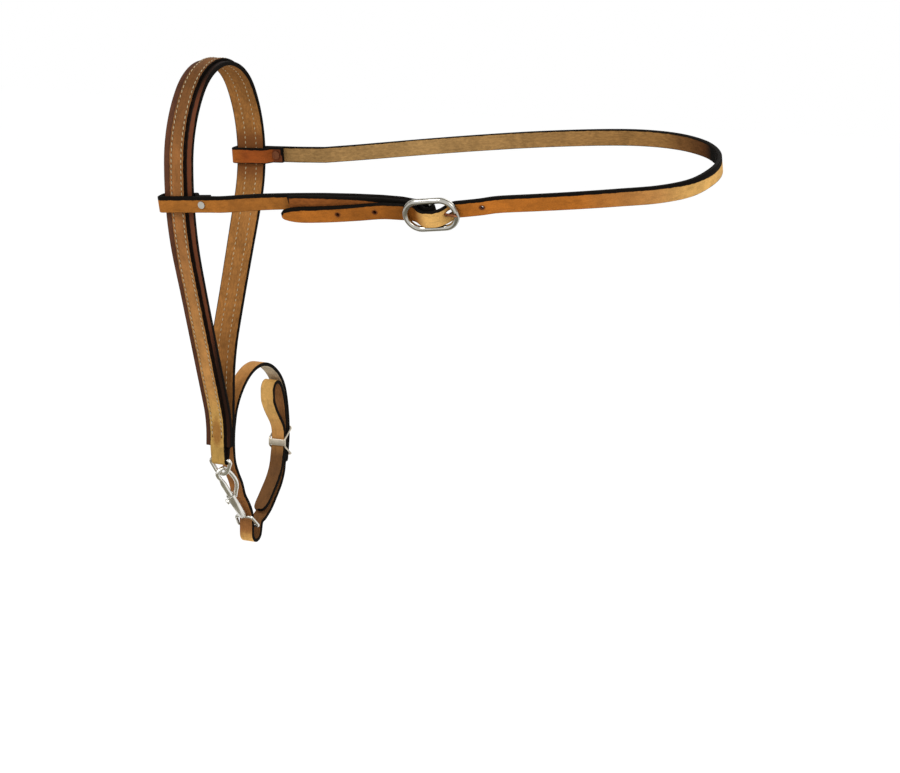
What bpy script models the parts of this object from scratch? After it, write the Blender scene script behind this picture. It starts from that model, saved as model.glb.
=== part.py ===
"""Tie-down noseband: a doubled leather noseband on a buckled crown strap, with a dee below it
and a bolt snap that carries a small buckled loop for the tie-down strap.

Metres, +Z up. The origin is the inside top of the noseband's arch, where it lies over the nose.
The noseband's loop stands in the YZ plane, near side at -Y, and the crown strap runs to +X.
"""
import math

import bmesh
import bpy
from mathutils import Matrix, Vector

# Leather stock
CLEARANCE = 0.0003          # gap between two pieces that lie on each other
STRAP_WIDTH = 0.0159        # 5/8 inch strap: crown, cheek, overlay and tie-down loop
STRAP_THICK = 0.0042        # crown and cheek strap
BASE_WIDTH = 0.0314         # base strap of the noseband over the nose
BASE_LOW_WIDTH = 0.0292     # and in its lower legs
BASE_NARROWS = (0.130, 0.240)   # it narrows between these depths below the origin
BASE_THICK = 0.0040
OVERLAY_THICK = 0.0026
LOOP_THICK = 0.0038         # tie-down loop strap
EDGE_ROUND = 0.0008         # rounded and dyed strap edges
HOLE_RADIUS = 0.0021        # punched hole for a buckle tongue or screw post
CROWN_TIP = (0.026, 0.28)   # length of a strap's rounded tip, and its blunt end as part of the width
LOOP_START_TIP = (0.004, 0.75)
LOOP_END_TIP = (0.014, 0.45)
JOIN = 0.0004               # how far one part of a piece runs into the next

# Noseband outline, along the middle of the base strap
ARCH_TOP_RADIUS = 0.0601
ARCH_TOP_ANGLE = math.radians(55.0)
TAIL_SHIFT = 0.0130         # how far the joined lower ends hang to the far side
BASE_DROP = 0.3881          # lower ends of the base strap below the origin
NEAR_SIDE_RADIUS = 0.1170   # near leg's bend above its widest place
NEAR_BEND_RADIUS = 0.300    # and below it
NEAR_TAIL_RADIUS = 0.100    # its bend back into the joined lower ends
NEAR_JOINED = 0.0085        # and its straight lower end
FAR_SIDE_RADIUS = 0.1313
FAR_BEND_RADIUS = 0.130
FAR_TAIL_RADIUS = 0.180
FAR_JOINED = 0.0651
LEG_STEP = 0.014            # length of a leg's flat stretches

# Crown strap and its loops round the noseband
NEAR_LOOP_DROP = 0.1306     # near loop below the origin
FAR_LOOP_DROP = 0.0938
LOOP_END_PLAY = 0.0008      # free room between a leg's edge and the loop's turn
LOOP_CORNER = 0.0036        # bend of the loop's turn, along the middle of the strap
NEAR_FACE_PLAY = 0.0010     # free room over a leg's two faces
FAR_FACE_PLAY = 0.0013
NEAR_LEAN = math.radians(10.0)
FAR_LEAN = math.radians(6.0)
NEAR_SLOPE = math.radians(4.0)
FAR_SLOPE = math.radians(2.0)
LOOP_CLOSE = 0.0070         # length over which a loop's two layers come together
SCREW_REACH = {-1: 0.0146, 1: 0.0122}   # screw past a leg's edge
LOOP_TAIL = 0.0070          # end of the inner layer past the screw
LOOP_LAP = 0.004            # a loop's first and last bends are this far past the leg's middle

# Crown buckle, an oval frame with a bar across its middle
BUCKLE_AT = Vector((0.2797, -0.0925, -0.1206))
BUCKLE_SLOPE = math.radians(7.0)
BUCKLE_LEAN = math.radians(24.0)
BUCKLE_STRAIGHT = 0.0224
BUCKLE_END_RADIUS = 0.0141
BUCKLE_WIRE = 0.0028
BUCKLE_BAR = 0.0016
BUCKLE_BAR_BACK = 0.0034    # the bar sits this far behind the frame's plane
BILLET_FALL = (0.0030, 0.0198)  # the strap goes from over the bar to behind the frame between these
BILLET_FLAT = 0.0070        # and lies flat behind the frame for this far more
TONGUE_WIRE = 0.0012
TONGUE_HOLE_AT = 0.0162
HOLES_AT = (-0.0960, -0.0575, 0.0500)   # other holes, from the buckle's middle
HOLE_ROW = 0.0024           # the hole past the buckle lies this far up
FOLD_THICK = 0.0026         # the cheek strap is skived where it folds round the bar
TURNBACK_THICK = 0.0036
TURNBACK_LENGTH = 0.147
TURNBACK_SCREW_AT = -0.052
TONGUE_TIP = 0.0035         # tongue beyond the middle of the frame's end
TONGUE_ROW = -0.0004        # the tongue's line, from the middle of the bar
ONWARD_ROW = 0.0014         # middle of the crown strap at the frame's two ends
ROW_CHANGE = (0.004, 0.020) # it moves there from the tongue's line after this far, over this length
TONGUE_SLOT_PLAY = 0.0010   # room round the tongue in its hole
TONGUE_SLOT_REACH = (0.0095, 0.0065)    # the hole runs this far back and on along the tongue
FOLD_SLOT_LOW = (-0.0065, -0.0024, -0.014)  # corners of the fold's slot for the tongue
FOLD_SLOT_HIGH = (0.0075, 0.0016, 0.0035)
FOLD_SKIVE = (0.006, 0.030) # the fold's thin leather thickens after this far, over this length
HEAD_ROOM = (0.020, 0.015)  # the turnback leaves room for its screw's head from here, over this length

# Chicago screws
POST_RADIUS = 0.0018
POST_HEAD_RADIUS = 0.0042
POST_HEAD_THICK = 0.0009
SCREW_RADIUS = 0.0008
SCREW_HEAD_RADIUS = 0.0036
SCREW_HEAD_THICK = 0.0011
BORE_FLOOR = 0.0015         # the screw's bore starts this far from the post's flanged end
HOLE_SPARE = 0.003          # how far a hole's cutter runs past the leather

# Dee in the bottom of the overlay
DEE_WIRE = 0.0021
DEE_BAR_DROP = 0.0147       # dee bar below the base strap's ends
DEE_HALF_BAR = 0.0127
DEE_APEX = 0.0270
DEE_CORNER = 0.0028
DEE_BOTTOM_RADIUS = 0.0077
DEE_LEAN = math.radians(16.0)

# Bolt snap, measured along its axis from the hook's nose
SNAP_LEAN = math.radians(41.3)
SNAP_SIDE = math.radians(3.2)
SNAP_TURN = math.radians(58.0)
HOOK_WIRE = 0.0022
HOOK_REACH = 0.0132
HOOK_TOP = 0.0048           # middle of the hook's wire above the level of its nose
DEE_IN_HOOK = (0.0048, 0.0016)
BARREL_RADIUS = 0.0045
BARREL_BORE = 0.0035
BARREL_TOP = 0.0330
BARREL_END = 0.0670
BARREL_FLOOR = 0.0610
BOLT_RADIUS = 0.0031
BOLT_NOSE = 0.0062
BOLT_NOSE_RADIUS = 0.0021
BOLT_TAPER = 0.0080
BOLT_TAIL = 0.0430
KNOB_AT = 0.0385
KNOB_RADIUS = 0.0032
KNOB_THICK = 0.0024
KNOB_STEM = 0.0014
BOLT_TRAVEL = 0.0080
SPRING_WIRE = 0.0003
SPRING_TURNS = 8
SWIVEL_STEM = 0.0014
SWIVEL_BORE = 0.0018
SWIVEL_HEAD = 0.0029
SWIVEL_HEAD_THICK = 0.0016
EYE_WIRE = 0.0017
EYE_TOP = 0.0705
EYE_TOP_HALF = 0.0094
EYE_BOTTOM_PLAY = 0.0029    # room beside the strap in the eye
EYE_BOTTOM = 0.0860
EYE_TOP_CORNER = 0.0040
EYE_LOW_CORNER = 0.0026
EYE_COLLAR = 0.0031

# Tie-down loop: turn round the eye's bar, and its slide buckle
LOOP_TURN_RADIUS = 0.0086
LOOP_TURN_DROP = 0.0080
LOOP_BUCKLE_UP = 0.0783     # middle of the slide buckle above the eye's bar
LOOP_BUCKLE_HALF = 0.0152
LOOP_BUCKLE_SIDE = 0.0022   # middle of its side rails past the strap's edge
LOOP_BUCKLE_CROSS = 0.42    # its rails are outside the strap from this part of its half height
LOOP_BUCKLE_WIRE = 0.0010
LOOP_BAR_WIDTH = 0.0062
LOOP_BAR_THICK = 0.0022
LOOP_BAR_GAP = 0.0007
LOOP_PIN = 0.0015
LAYER_GAP = 0.0004          # between the loop's layers at the slide buckle
LOOP_OUTER_AT = 0.0724      # middle of the outer layer there, from the eye's bar


# General helpers

def clear_scene():
    for item in list(bpy.data.objects):
        bpy.data.objects.remove(item, do_unlink=True)


def new_collection(name):
    made = bpy.data.collections.new(name)
    bpy.context.scene.collection.children.link(made)
    return made


def make_material(name, colour, roughness, metallic=0.0):
    made = bpy.data.materials.new(name)
    made.use_nodes = True
    shader = made.node_tree.nodes["Principled BSDF"]
    shader.inputs["Base Color"].default_value = (*colour, 1.0)
    shader.inputs["Roughness"].default_value = roughness
    shader.inputs["Metallic"].default_value = metallic
    made.diffuse_color = (*colour, 1.0)
    return made


def add_object(name, mesh, look=None, cutter=False):
    made = bpy.data.objects.new(name, mesh)
    (CUTTERS if cutter else PARTS).objects.link(made)
    if look is not None:
        mesh.materials.append(look)
    if cutter:
        made.hide_render = True
        made.display_type = "WIRE"
    return made


def frame_matrix(origin, x_axis, y_axis, z_axis):
    """A placement whose columns are the three axes and the origin."""
    return Matrix.Translation(origin) @ Matrix((x_axis, y_axis, z_axis)).transposed().to_4x4()


def turned_to(direction, origin):
    """A placement whose Z axis runs along a direction."""
    return Matrix.Translation(origin) @ Vector(direction).to_track_quat("Z", "Y").to_matrix().to_4x4()


def rod_mesh(name, radius, start, end, sides=20):
    """A plain rod between two points."""
    span = end - start
    work = bmesh.new()
    bmesh.ops.create_cone(work, cap_ends=True, segments=sides, radius1=radius, radius2=radius,
                          depth=span.length)
    bmesh.ops.transform(work, matrix=turned_to(span, (start + end) / 2), verts=work.verts)
    mesh = bpy.data.meshes.new(name)
    work.to_mesh(mesh)
    work.free()
    return mesh


def box_mesh(name, placement, low, high):
    """A box given by two corners in a placement's own axes."""
    low, high = Vector(low), Vector(high)
    work = bmesh.new()
    bmesh.ops.create_cube(work, size=1.0)
    bmesh.ops.scale(work, vec=high - low, verts=work.verts)
    bmesh.ops.translate(work, vec=(low + high) / 2, verts=work.verts)
    bmesh.ops.transform(work, matrix=placement, verts=work.verts)
    mesh = bpy.data.meshes.new(name)
    work.to_mesh(mesh)
    work.free()
    return mesh


def cut(target, cutter, kind="DIFFERENCE"):
    change = target.modifiers.new(cutter.name, "BOOLEAN")
    change.operation = kind
    change.object = cutter
    change.solver = "EXACT"


def smooth_by_angle(item, degrees=35.0):
    item.data.shade_smooth()
    item.data.set_sharp_from_angle(angle=math.radians(degrees))


def smooth_route(points, spans):
    """Points read from a smooth curve through a route's own points, which may carry extra values."""
    rows = [Vector(p) for p in points]
    ends = [rows[0] * 2 - rows[1]] + rows + [rows[-1] * 2 - rows[-2]]
    route = []
    for i in range(1, len(ends) - 2):
        before, here, after, beyond = ends[i - 1:i + 3]
        for k in range(spans):
            t = k / spans
            route.append(0.5 * (here * 2 + (after - before) * t
                                + (before * 2 - here * 5 + after * 4 - beyond) * t * t
                                + (here * 3 - before - after * 3 + beyond) * t * t * t))
    route.append(rows[-1])
    return route


def tube_mesh(name, points, radius, closed=False, sides=2):
    """A round wire along a list of points, made a mesh with its caps welded."""
    curve = bpy.data.curves.new(name, "CURVE")
    curve.dimensions = "3D"
    curve.bevel_depth = radius
    curve.bevel_resolution = sides
    curve.use_fill_caps = not closed
    line = curve.splines.new("POLY")
    line.points.add(len(points) - 1)
    for spot, point in zip(line.points, points):
        spot.co = (*point, 1.0)
    line.use_cyclic_u = closed
    holder = bpy.data.objects.new(name, curve)
    bpy.context.scene.collection.objects.link(holder)
    bpy.context.view_layer.update()
    mesh = bpy.data.meshes.new_from_object(
        holder.evaluated_get(bpy.context.evaluated_depsgraph_get()))
    work = bmesh.new()
    work.from_mesh(mesh)
    bmesh.ops.remove_doubles(work, verts=work.verts, dist=0.00001)
    bmesh.ops.recalc_face_normals(work, faces=work.faces)
    work.to_mesh(mesh)
    work.free()
    bpy.data.objects.remove(holder, do_unlink=True)
    bpy.data.curves.remove(curve)
    return mesh


def rounded_polygon(corners, radii, step=math.radians(22.5)):
    """A closed outline in a plane, with each corner rounded to its own radius."""
    outline = []
    count = len(corners)
    for i, corner in enumerate(corners):
        to_last = (corners[i - 1] - corner).normalized()
        to_next = (corners[(i + 1) % count] - corner).normalized()
        half = to_last.angle(to_next) / 2
        middle = corner + (to_last + to_next).normalized() * radii[i] / math.sin(half)
        swing = math.pi - 2 * half
        steps = max(1, round(swing / step))
        start = (corner + to_last * radii[i] / math.tan(half)) - middle
        end = (corner + to_next * radii[i] / math.tan(half)) - middle
        for k in range(steps + 1):
            part = swing * k / steps
            outline.append(middle + (start * math.sin(swing - part) + end * math.sin(part))
                           / math.sin(swing))
    return outline


def strap_mesh(name, stations, closed=False):
    """A loft along a strap. Each station is (middle, across, out, half width, half thickness)."""
    work = bmesh.new()
    rings = []
    for middle, across, out, half_wide, half_thick in stations:
        rings.append([work.verts.new(middle + across * half_wide * a + out * half_thick * b)
                      for a, b in ((-1, -1), (1, -1), (1, 1), (-1, 1))])
    pairs = list(zip(rings, rings[1:] + rings[:1])) if closed else list(zip(rings, rings[1:]))
    for ring, following in pairs:
        for k in range(4):
            work.faces.new((ring[k], ring[(k + 1) % 4], following[(k + 1) % 4], following[k]))
    if not closed:
        work.faces.new(list(reversed(rings[0])))
        work.faces.new(rings[-1])
    bmesh.ops.recalc_face_normals(work, faces=work.faces)
    mesh = bpy.data.meshes.new(name)
    work.to_mesh(mesh)
    work.free()
    return mesh


def add_strap(name, stations, look, closed=False):
    item = add_object(name, strap_mesh(name, stations, closed), look)
    edges = item.modifiers.new("rounded_edges", "BEVEL")
    edges.width = EDGE_ROUND
    edges.segments = 1
    edges.limit_method = "ANGLE"
    edges.angle_limit = math.radians(60.0)
    edges.use_clamp_overlap = True
    return item


def leaning(lean):
    """Direction up a strap whose top edge leans towards -Y."""
    return Vector((0.0, -math.sin(lean), math.cos(lean)))


def route_stations(route, thick_at=None, half_wide_at=None):
    """Stations along a route of points, each with the direction up the strap."""
    places = [Vector(p[:3]) for p in route]
    stations = []
    for i, place in enumerate(places):
        ahead = (places[min(i + 1, len(places) - 1)] - places[max(i - 1, 0)]).normalized()
        up = Vector(route[i][3:6])
        across = (up - ahead * up.dot(ahead)).normalized()
        thick = STRAP_THICK if thick_at is None else thick_at[i]
        half_wide = STRAP_WIDTH / 2 if half_wide_at is None else half_wide_at[i]
        stations.append((place, across, ahead.cross(across), half_wide, thick / 2))
    return stations


def tip_half_width(distance, half_wide, tip_length, blunt):
    """Half width of a strap's rounded tip at a distance from its end."""
    if distance >= tip_length:
        return half_wide
    part = 1.0 - distance / tip_length
    return half_wide * (blunt + (1.0 - blunt) * math.sqrt(max(0.0, 1.0 - part * part)))


def smoothstep(value):
    value = min(1.0, max(0.0, value))
    return value * value * (3.0 - 2.0 * value)


# Noseband outline

def leg_shape(side):
    """Radii of a leg's three bends, its taper, and the straight run between the last two.

    The taper is found by halving: a steeper leg is shorter, and it has to end where the joined end starts.
    """
    side_radius = NEAR_SIDE_RADIUS if side < 0 else FAR_SIDE_RADIUS
    bend = NEAR_BEND_RADIUS if side < 0 else FAR_BEND_RADIUS
    unbend = NEAR_TAIL_RADIUS if side < 0 else FAR_TAIL_RADIUS
    joined = NEAR_JOINED if side < 0 else FAR_JOINED
    half_gap = (BASE_THICK + CLEARANCE) / 2
    arch, level = math.sin(ARCH_TOP_ANGLE), math.cos(ARCH_TOP_ANGLE)
    travel = ARCH_TOP_RADIUS * arch + side_radius * (1 - arch) - side * TAIL_SHIFT - half_gap
    depth = BASE_DROP - joined + BASE_THICK / 2 - ARCH_TOP_RADIUS * (1 - level) - side_radius * level
    low, high = math.radians(2.0), math.radians(45.0)
    for _ in range(40):
        taper = (low + high) / 2
        straight = (travel - (bend + unbend) * (1 - math.cos(taper))) / math.sin(taper)
        if (bend + unbend) * math.sin(taper) + straight * math.cos(taper) > depth:
            low = taper
        else:
            high = taper
    return side_radius, bend, unbend, taper, straight


def leg_rows(side, offset, angle_step=math.radians(5.0), line_step=LEG_STEP):
    """Points and headings down one leg, at an offset outwards from the base strap's middle.

    The heading is the angle that the leg has turned from level, so 90 degrees is straight down.
    """
    side_radius, bend, unbend, taper, straight = leg_shape(side)
    right = math.pi / 2
    moves = [(ARCH_TOP_RADIUS, 0.0, ARCH_TOP_ANGLE), (side_radius, ARCH_TOP_ANGLE, right),
             (bend, right, right + taper), (straight, None, right + taper),
             (-unbend, right + taper, right)]
    spot = Vector((0.0, BASE_THICK / 2))
    rows = [(spot.copy(), 0.0)]
    for size, start, end in moves:
        if start is None:
            steps = max(1, round(size / line_step))
            ahead = Vector((side * math.cos(end), -math.sin(end)))
            for k in range(1, steps + 1):
                rows.append((spot + ahead * size * k / steps, end))
        else:
            steps = max(1, round(abs(end - start) / angle_step))
            for k in range(1, steps + 1):
                angle = start + (end - start) * k / steps
                rows.append((spot + Vector((side * (math.sin(angle) - math.sin(start)),
                                            math.cos(angle) - math.cos(start))) * size, angle))
        spot = rows[-1][0].copy()
    rows.append((Vector((spot.x, -BASE_DROP)), right))
    return [(p + Vector((side * math.sin(a), math.cos(a))) * offset, a) for p, a in rows]


def leg_place(side, drop, offset):
    """Where a leg passes a height below the origin, and its outward direction there."""
    rows = leg_rows(side, offset, math.radians(1.0), 0.002)
    for (above, angle), (below, _) in zip(rows, rows[1:]):
        if above.y >= -drop > below.y and angle > math.radians(60.0):
            part = (above.y + drop) / (above.y - below.y)
            spot = above.lerp(below, part)
            return Vector((0.0, spot.x, spot.y)), Vector((0.0, side * math.sin(angle), math.cos(angle)))
    raise ValueError("the leg does not reach that height")


def leg_stations(rows, side, half_wide_at, half_thick):
    across = Vector((1.0, 0.0, 0.0))
    return [(Vector((0.0, p.x, p.y)), across, Vector((0.0, side * math.sin(a), math.cos(a))),
             half_wide_at(-p.y), half_thick) for p, a in rows]


def base_half_width(drop):
    start, end = BASE_NARROWS
    part = smoothstep((drop - start) / (end - start))
    return (BASE_WIDTH + (BASE_LOW_WIDTH - BASE_WIDTH) * part) / 2


def overlay_half_width(drop):
    return STRAP_WIDTH / 2


def dee_bar_middle():
    return Vector((0.0, TAIL_SHIFT, -BASE_DROP - DEE_BAR_DROP))


def build_noseband():
    near, far = leg_rows(-1, 0.0), leg_rows(1, 0.0)
    half = BASE_THICK / 2
    stations = (list(reversed(leg_stations(near, -1, base_half_width, half)))
                + leg_stations(far, 1, base_half_width, half)[1:])
    add_strap("noseband_base", stations, CHESTNUT)

    offset = (BASE_THICK + OVERLAY_THICK) / 2 + CLEARANCE
    near, far = leg_rows(-1, offset), leg_rows(1, offset)
    half = OVERLAY_THICK / 2
    bar = dee_bar_middle()
    turn_radius = DEE_WIRE + CLEARANCE + OVERLAY_THICK / 2
    turn = []
    for k in range(9):
        angle = math.pi * k / 8
        out = Vector((0.0, math.cos(angle), -math.sin(angle)))
        turn.append((bar + out * turn_radius, Vector((1.0, 0.0, 0.0)), out, STRAP_WIDTH / 2, half))
    stations = (list(reversed(leg_stations(near, -1, overlay_half_width, half)))
                + leg_stations(far, 1, overlay_half_width, half)[1:])
    add_strap("noseband_overlay", stations + turn, TAN, closed=True)


# Crown strap and cheek strap

def leg_frame(side, drop, lean, slope):
    """Placement of a crown loop on a leg: X along the strap, Y up it, Z out of the noseband."""
    middle, _ = leg_place(side, drop, OVERLAY_THICK / 2 + CLEARANCE / 2)
    along = Vector((math.cos(slope), 0.0, math.sin(slope)))
    up = leaning(lean)
    up = (up - along * up.dot(along)).normalized()
    out = along.cross(up) if side < 0 else up.cross(along)
    return middle, along, up, out


def loop_half(face_play):
    """Half the distance between the middles of a loop's two layers."""
    return (BASE_THICK + CLEARANCE + OVERLAY_THICK + STRAP_THICK) / 2 + face_play


def loop_profile(side, face_play):
    """(along, out) points from the outer layer, round the leg's edge, to the inner layer's end."""
    half = loop_half(face_play)
    edge = base_half_width(0.0) + LOOP_END_PLAY
    turn_at = -(edge + STRAP_THICK / 2) + LOOP_CORNER
    layer = STRAP_THICK + CLEARANCE
    points = [(LOOP_LAP, half)]
    for corner in (1, -1):
        for k in range(5):
            angle = math.pi / 2 + math.pi / 8 * (k if corner > 0 else k + 4)
            points.append((turn_at + LOOP_CORNER * math.cos(angle),
                           corner * (half - LOOP_CORNER) + LOOP_CORNER * math.sin(angle)))
    points += [(LOOP_LAP, -half), (edge, -half)]
    for k in range(1, 7):
        part = k / 6
        points.append((edge + LOOP_CLOSE * part, -half + (2 * half - layer) * smoothstep(part)))
    screw = base_half_width(0.0) + SCREW_REACH[side]
    points += [(screw, half - layer), (screw + LOOP_TAIL, half - layer)]
    return points


def loop_route(side, drop, lean, slope, face_play):
    """The same points in the object's own axes, each with the direction up the strap."""
    middle, along, up, out = leg_frame(side, drop, lean, slope)
    return [(*(middle + along * u + out * n), *up) for u, n in loop_profile(side, face_play)]


def buckle_axes():
    along = Vector((math.cos(BUCKLE_SLOPE), 0.0, math.sin(BUCKLE_SLOPE)))
    up = leaning(BUCKLE_LEAN)
    up = (up - along * up.dot(along)).normalized()
    return along, up, along.cross(up)


def buckle_point(u, v, n):
    along, up, out = buckle_axes()
    return BUCKLE_AT + along * u + up * v + out * n


def behind_frame():
    """Middle of the crown strap where it passes behind the buckle's frame."""
    return -(BUCKLE_WIRE + 2 * CLEARANCE + STRAP_THICK / 2)


def over_bar():
    """Middle of the crown strap where it passes over the fold round the bar."""
    return -BUCKLE_BAR_BACK + BUCKLE_BAR + FOLD_THICK + 3 * CLEARANCE + STRAP_THICK / 2


def billet_out(u):
    start, end = BILLET_FALL
    return over_bar() + (behind_frame() - over_bar()) * smoothstep((abs(u) - start) / (end - start))


def billet_stretch(u):
    """How much longer a distance square to the sloping strap is when taken straight back."""
    step = 0.0001
    return math.hypot(1.0, (billet_out(u + step) - billet_out(u - step)) / (2 * step))


def on_buckle(u, v, n):
    """A route point in the buckle's own axes."""
    return (*buckle_point(u, v, n), *buckle_axes()[1])


TAIL_ROUTE = [(-0.155, 0.0066), (-0.138, 0.0052), (-0.110, 0.0040), (-0.080, 0.0038),
              (-0.053, 0.0042), (-0.036, 0.0026)]
CHEEK_RISE = [(-0.160, 0.0150), (-0.139, 0.0146), (-0.110, 0.0126), (-0.080, 0.0100),
              (-0.053, 0.0070), (-0.036, 0.0044), (-0.024, 0.0026), (-0.012, 0.0008), (0.0, -0.0004)]
CHEEK_RUNS = (-0.120, -0.095, -0.070, -0.050, -0.038, -0.030, -0.026, -0.023, -0.020, -0.018, -0.016,
              -0.014, -0.012, -0.010, -0.008, -0.006, -0.003)
CHEEK_END = -0.160             # the cheek strap's back layer is level from here on
CHEEK_LEAVES = -0.145          # and leaves the turnback here
CHEEK_BEND = (0.097, -0.0838, 0.0085)   # x, y and height above the near loop, half way to it
CHEEK_JOINING = (0.054, 0.038, 0.022)   # straight run into the near loop, from the leg's middle
CROWN_JOINING = (0.052, 0.036, 0.020)   # and into the far loop
CROWN_LEAVES = ((0.037, 0.0018), (0.049, HOLE_ROW))     # crown strap just past the buckle
CROWN_ROUTE = [                # x, y, height above the origin, lean in degrees
    (0.345, -0.0868, -0.1070, 22), (0.382, -0.0870, -0.1028, 20), (0.420, -0.0852, -0.0984, 17),
    (0.456, -0.0795, -0.0940, 14), (0.488, -0.0645, -0.0902, 13), (0.509, -0.0410, -0.0850, 14),
    (0.5182, -0.0125, -0.0770, 17), (0.5172, 0.0150, -0.0702, 20), (0.507, 0.0405, -0.0642, 20),
    (0.488, 0.0615, -0.0587, 19), (0.458, 0.0760, -0.0548, 17), (0.420, 0.0830, -0.0538, 15),
    (0.376, 0.0848, -0.0558, 12), (0.313, 0.0855, -0.0612, 9), (0.250, 0.0855, -0.0682, 8),
    (0.186, 0.0850, -0.0762, 7), (0.120, 0.0838, -0.0850, 6), (0.080, 0.0828, -0.0900, 6)]


def rise_at(table, u):
    for (u0, v0), (u1, v1) in zip(table, table[1:]):
        if u0 <= u <= u1:
            return v0 + (v1 - v0) * (u - u0) / (u1 - u0)
    return table[-1][1] if u > table[-1][0] else table[0][1]


def build_crown_strap():
    points = [on_buckle(u, v, behind_frame()) for u, v in TAIL_ROUTE]
    steps = 26
    reach = BILLET_FALL[1] + BILLET_FLAT
    middle = []
    for k in range(steps + 1):
        u = -reach + 2 * reach * k / steps
        v = TONGUE_ROW + (ONWARD_ROW - TONGUE_ROW) * smoothstep((abs(u) - ROW_CHANGE[0]) / ROW_CHANGE[1])
        middle.append(on_buckle(u, v, billet_out(u)))
    onward = [on_buckle(u, v, behind_frame()) for u, v in CROWN_LEAVES]
    onward += [(x, y, z, *leaning(math.radians(tilt))) for x, y, z, tilt in CROWN_ROUTE]
    route = smooth_route(points + middle[:1], 3)[:-1] + middle[:-1]
    route += smooth_route(middle[-1:] + onward, 3)
    place, along, up, out = leg_frame(1, FAR_LOOP_DROP, FAR_LEAN, FAR_SLOPE)
    half = loop_half(FAR_FACE_PLAY)
    joining = [(*(place + along * u + out * half), *up) for u in CROWN_JOINING]
    route = route[:-1] + smooth_route([route[-1]] + joining, 3)
    route += loop_route(1, FAR_LOOP_DROP, FAR_LEAN, FAR_SLOPE, FAR_FACE_PLAY)
    punch_crown(add_crown_mesh(route))


def add_crown_mesh(route):
    """The crown strap's solid, with its tapered billet end."""
    first, second = Vector(route[0]), Vector(route[1])
    route = [first.lerp(second, part) for part in (0.0, 0.04, 0.12, 0.25, 0.45, 0.7)] + route[1:]
    distances = [0.0]
    for last, here in zip(route, route[1:]):
        distances.append(distances[-1] + (Vector(here[:3]) - Vector(last[:3])).length)
    widths = [tip_half_width(gone, STRAP_WIDTH / 2, *CROWN_TIP) for gone in distances]
    return add_strap("crown_strap", route_stations(route, half_wide_at=widths), TAN)


def punch_crown(crown):
    along, _, out = buckle_axes()
    for number, u in enumerate(HOLES_AT):
        v = rise_at(TAIL_ROUTE, u) if u < 0 else HOLE_ROW
        middle = buckle_point(u, v, behind_frame())
        reach = out * (STRAP_THICK / 2 + HOLE_SPARE)
        name = "hole_%d" % number
        hole = rod_mesh(name, HOLE_RADIUS, middle - reach, middle + reach, 16)
        cut(crown, add_object(name, hole, cutter=True))
    start, end = tongue_line()
    direction = (end - start).normalized()
    middle = start + direction * (TONGUE_HOLE_AT / direction.dot(along))
    back, on = TONGUE_SLOT_REACH
    slot = rod_mesh("hole_tongue", TONGUE_WIRE + TONGUE_SLOT_PLAY, middle - direction * back,
                    middle + direction * on, 16)
    cut(crown, add_object("hole_tongue", slot, cutter=True))
    add_screw_hole(crown, 1, FAR_LOOP_DROP, FAR_LEAN, FAR_SLOPE, FAR_FACE_PLAY, "far")


def cheek_layers(u, turnback):
    """Thickness and middle of the cheek strap's front or back layer left of the buckle's bar."""
    part = smoothstep((abs(u) - FOLD_SKIVE[0]) / FOLD_SKIVE[1])
    front_thick = FOLD_THICK + (TURNBACK_THICK - FOLD_THICK) * part
    back_thick = FOLD_THICK + (STRAP_THICK - FOLD_THICK) * part
    head_room = POST_HEAD_THICK * smoothstep((abs(u) - HEAD_ROOM[0]) / HEAD_ROOM[1])
    fold = BUCKLE_BAR + CLEARANCE + FOLD_THICK / 2
    stretch = billet_stretch(u)
    gap = CLEARANCE * 2
    front = min(billet_out(u) - (STRAP_THICK / 2 + gap + front_thick / 2) * stretch - head_room,
                -BUCKLE_BAR_BACK + fold)
    if turnback:
        return front_thick, front
    back = min(front - (front_thick / 2 + gap + back_thick / 2) * stretch, -BUCKLE_BAR_BACK - fold)
    return back_thick, back


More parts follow.
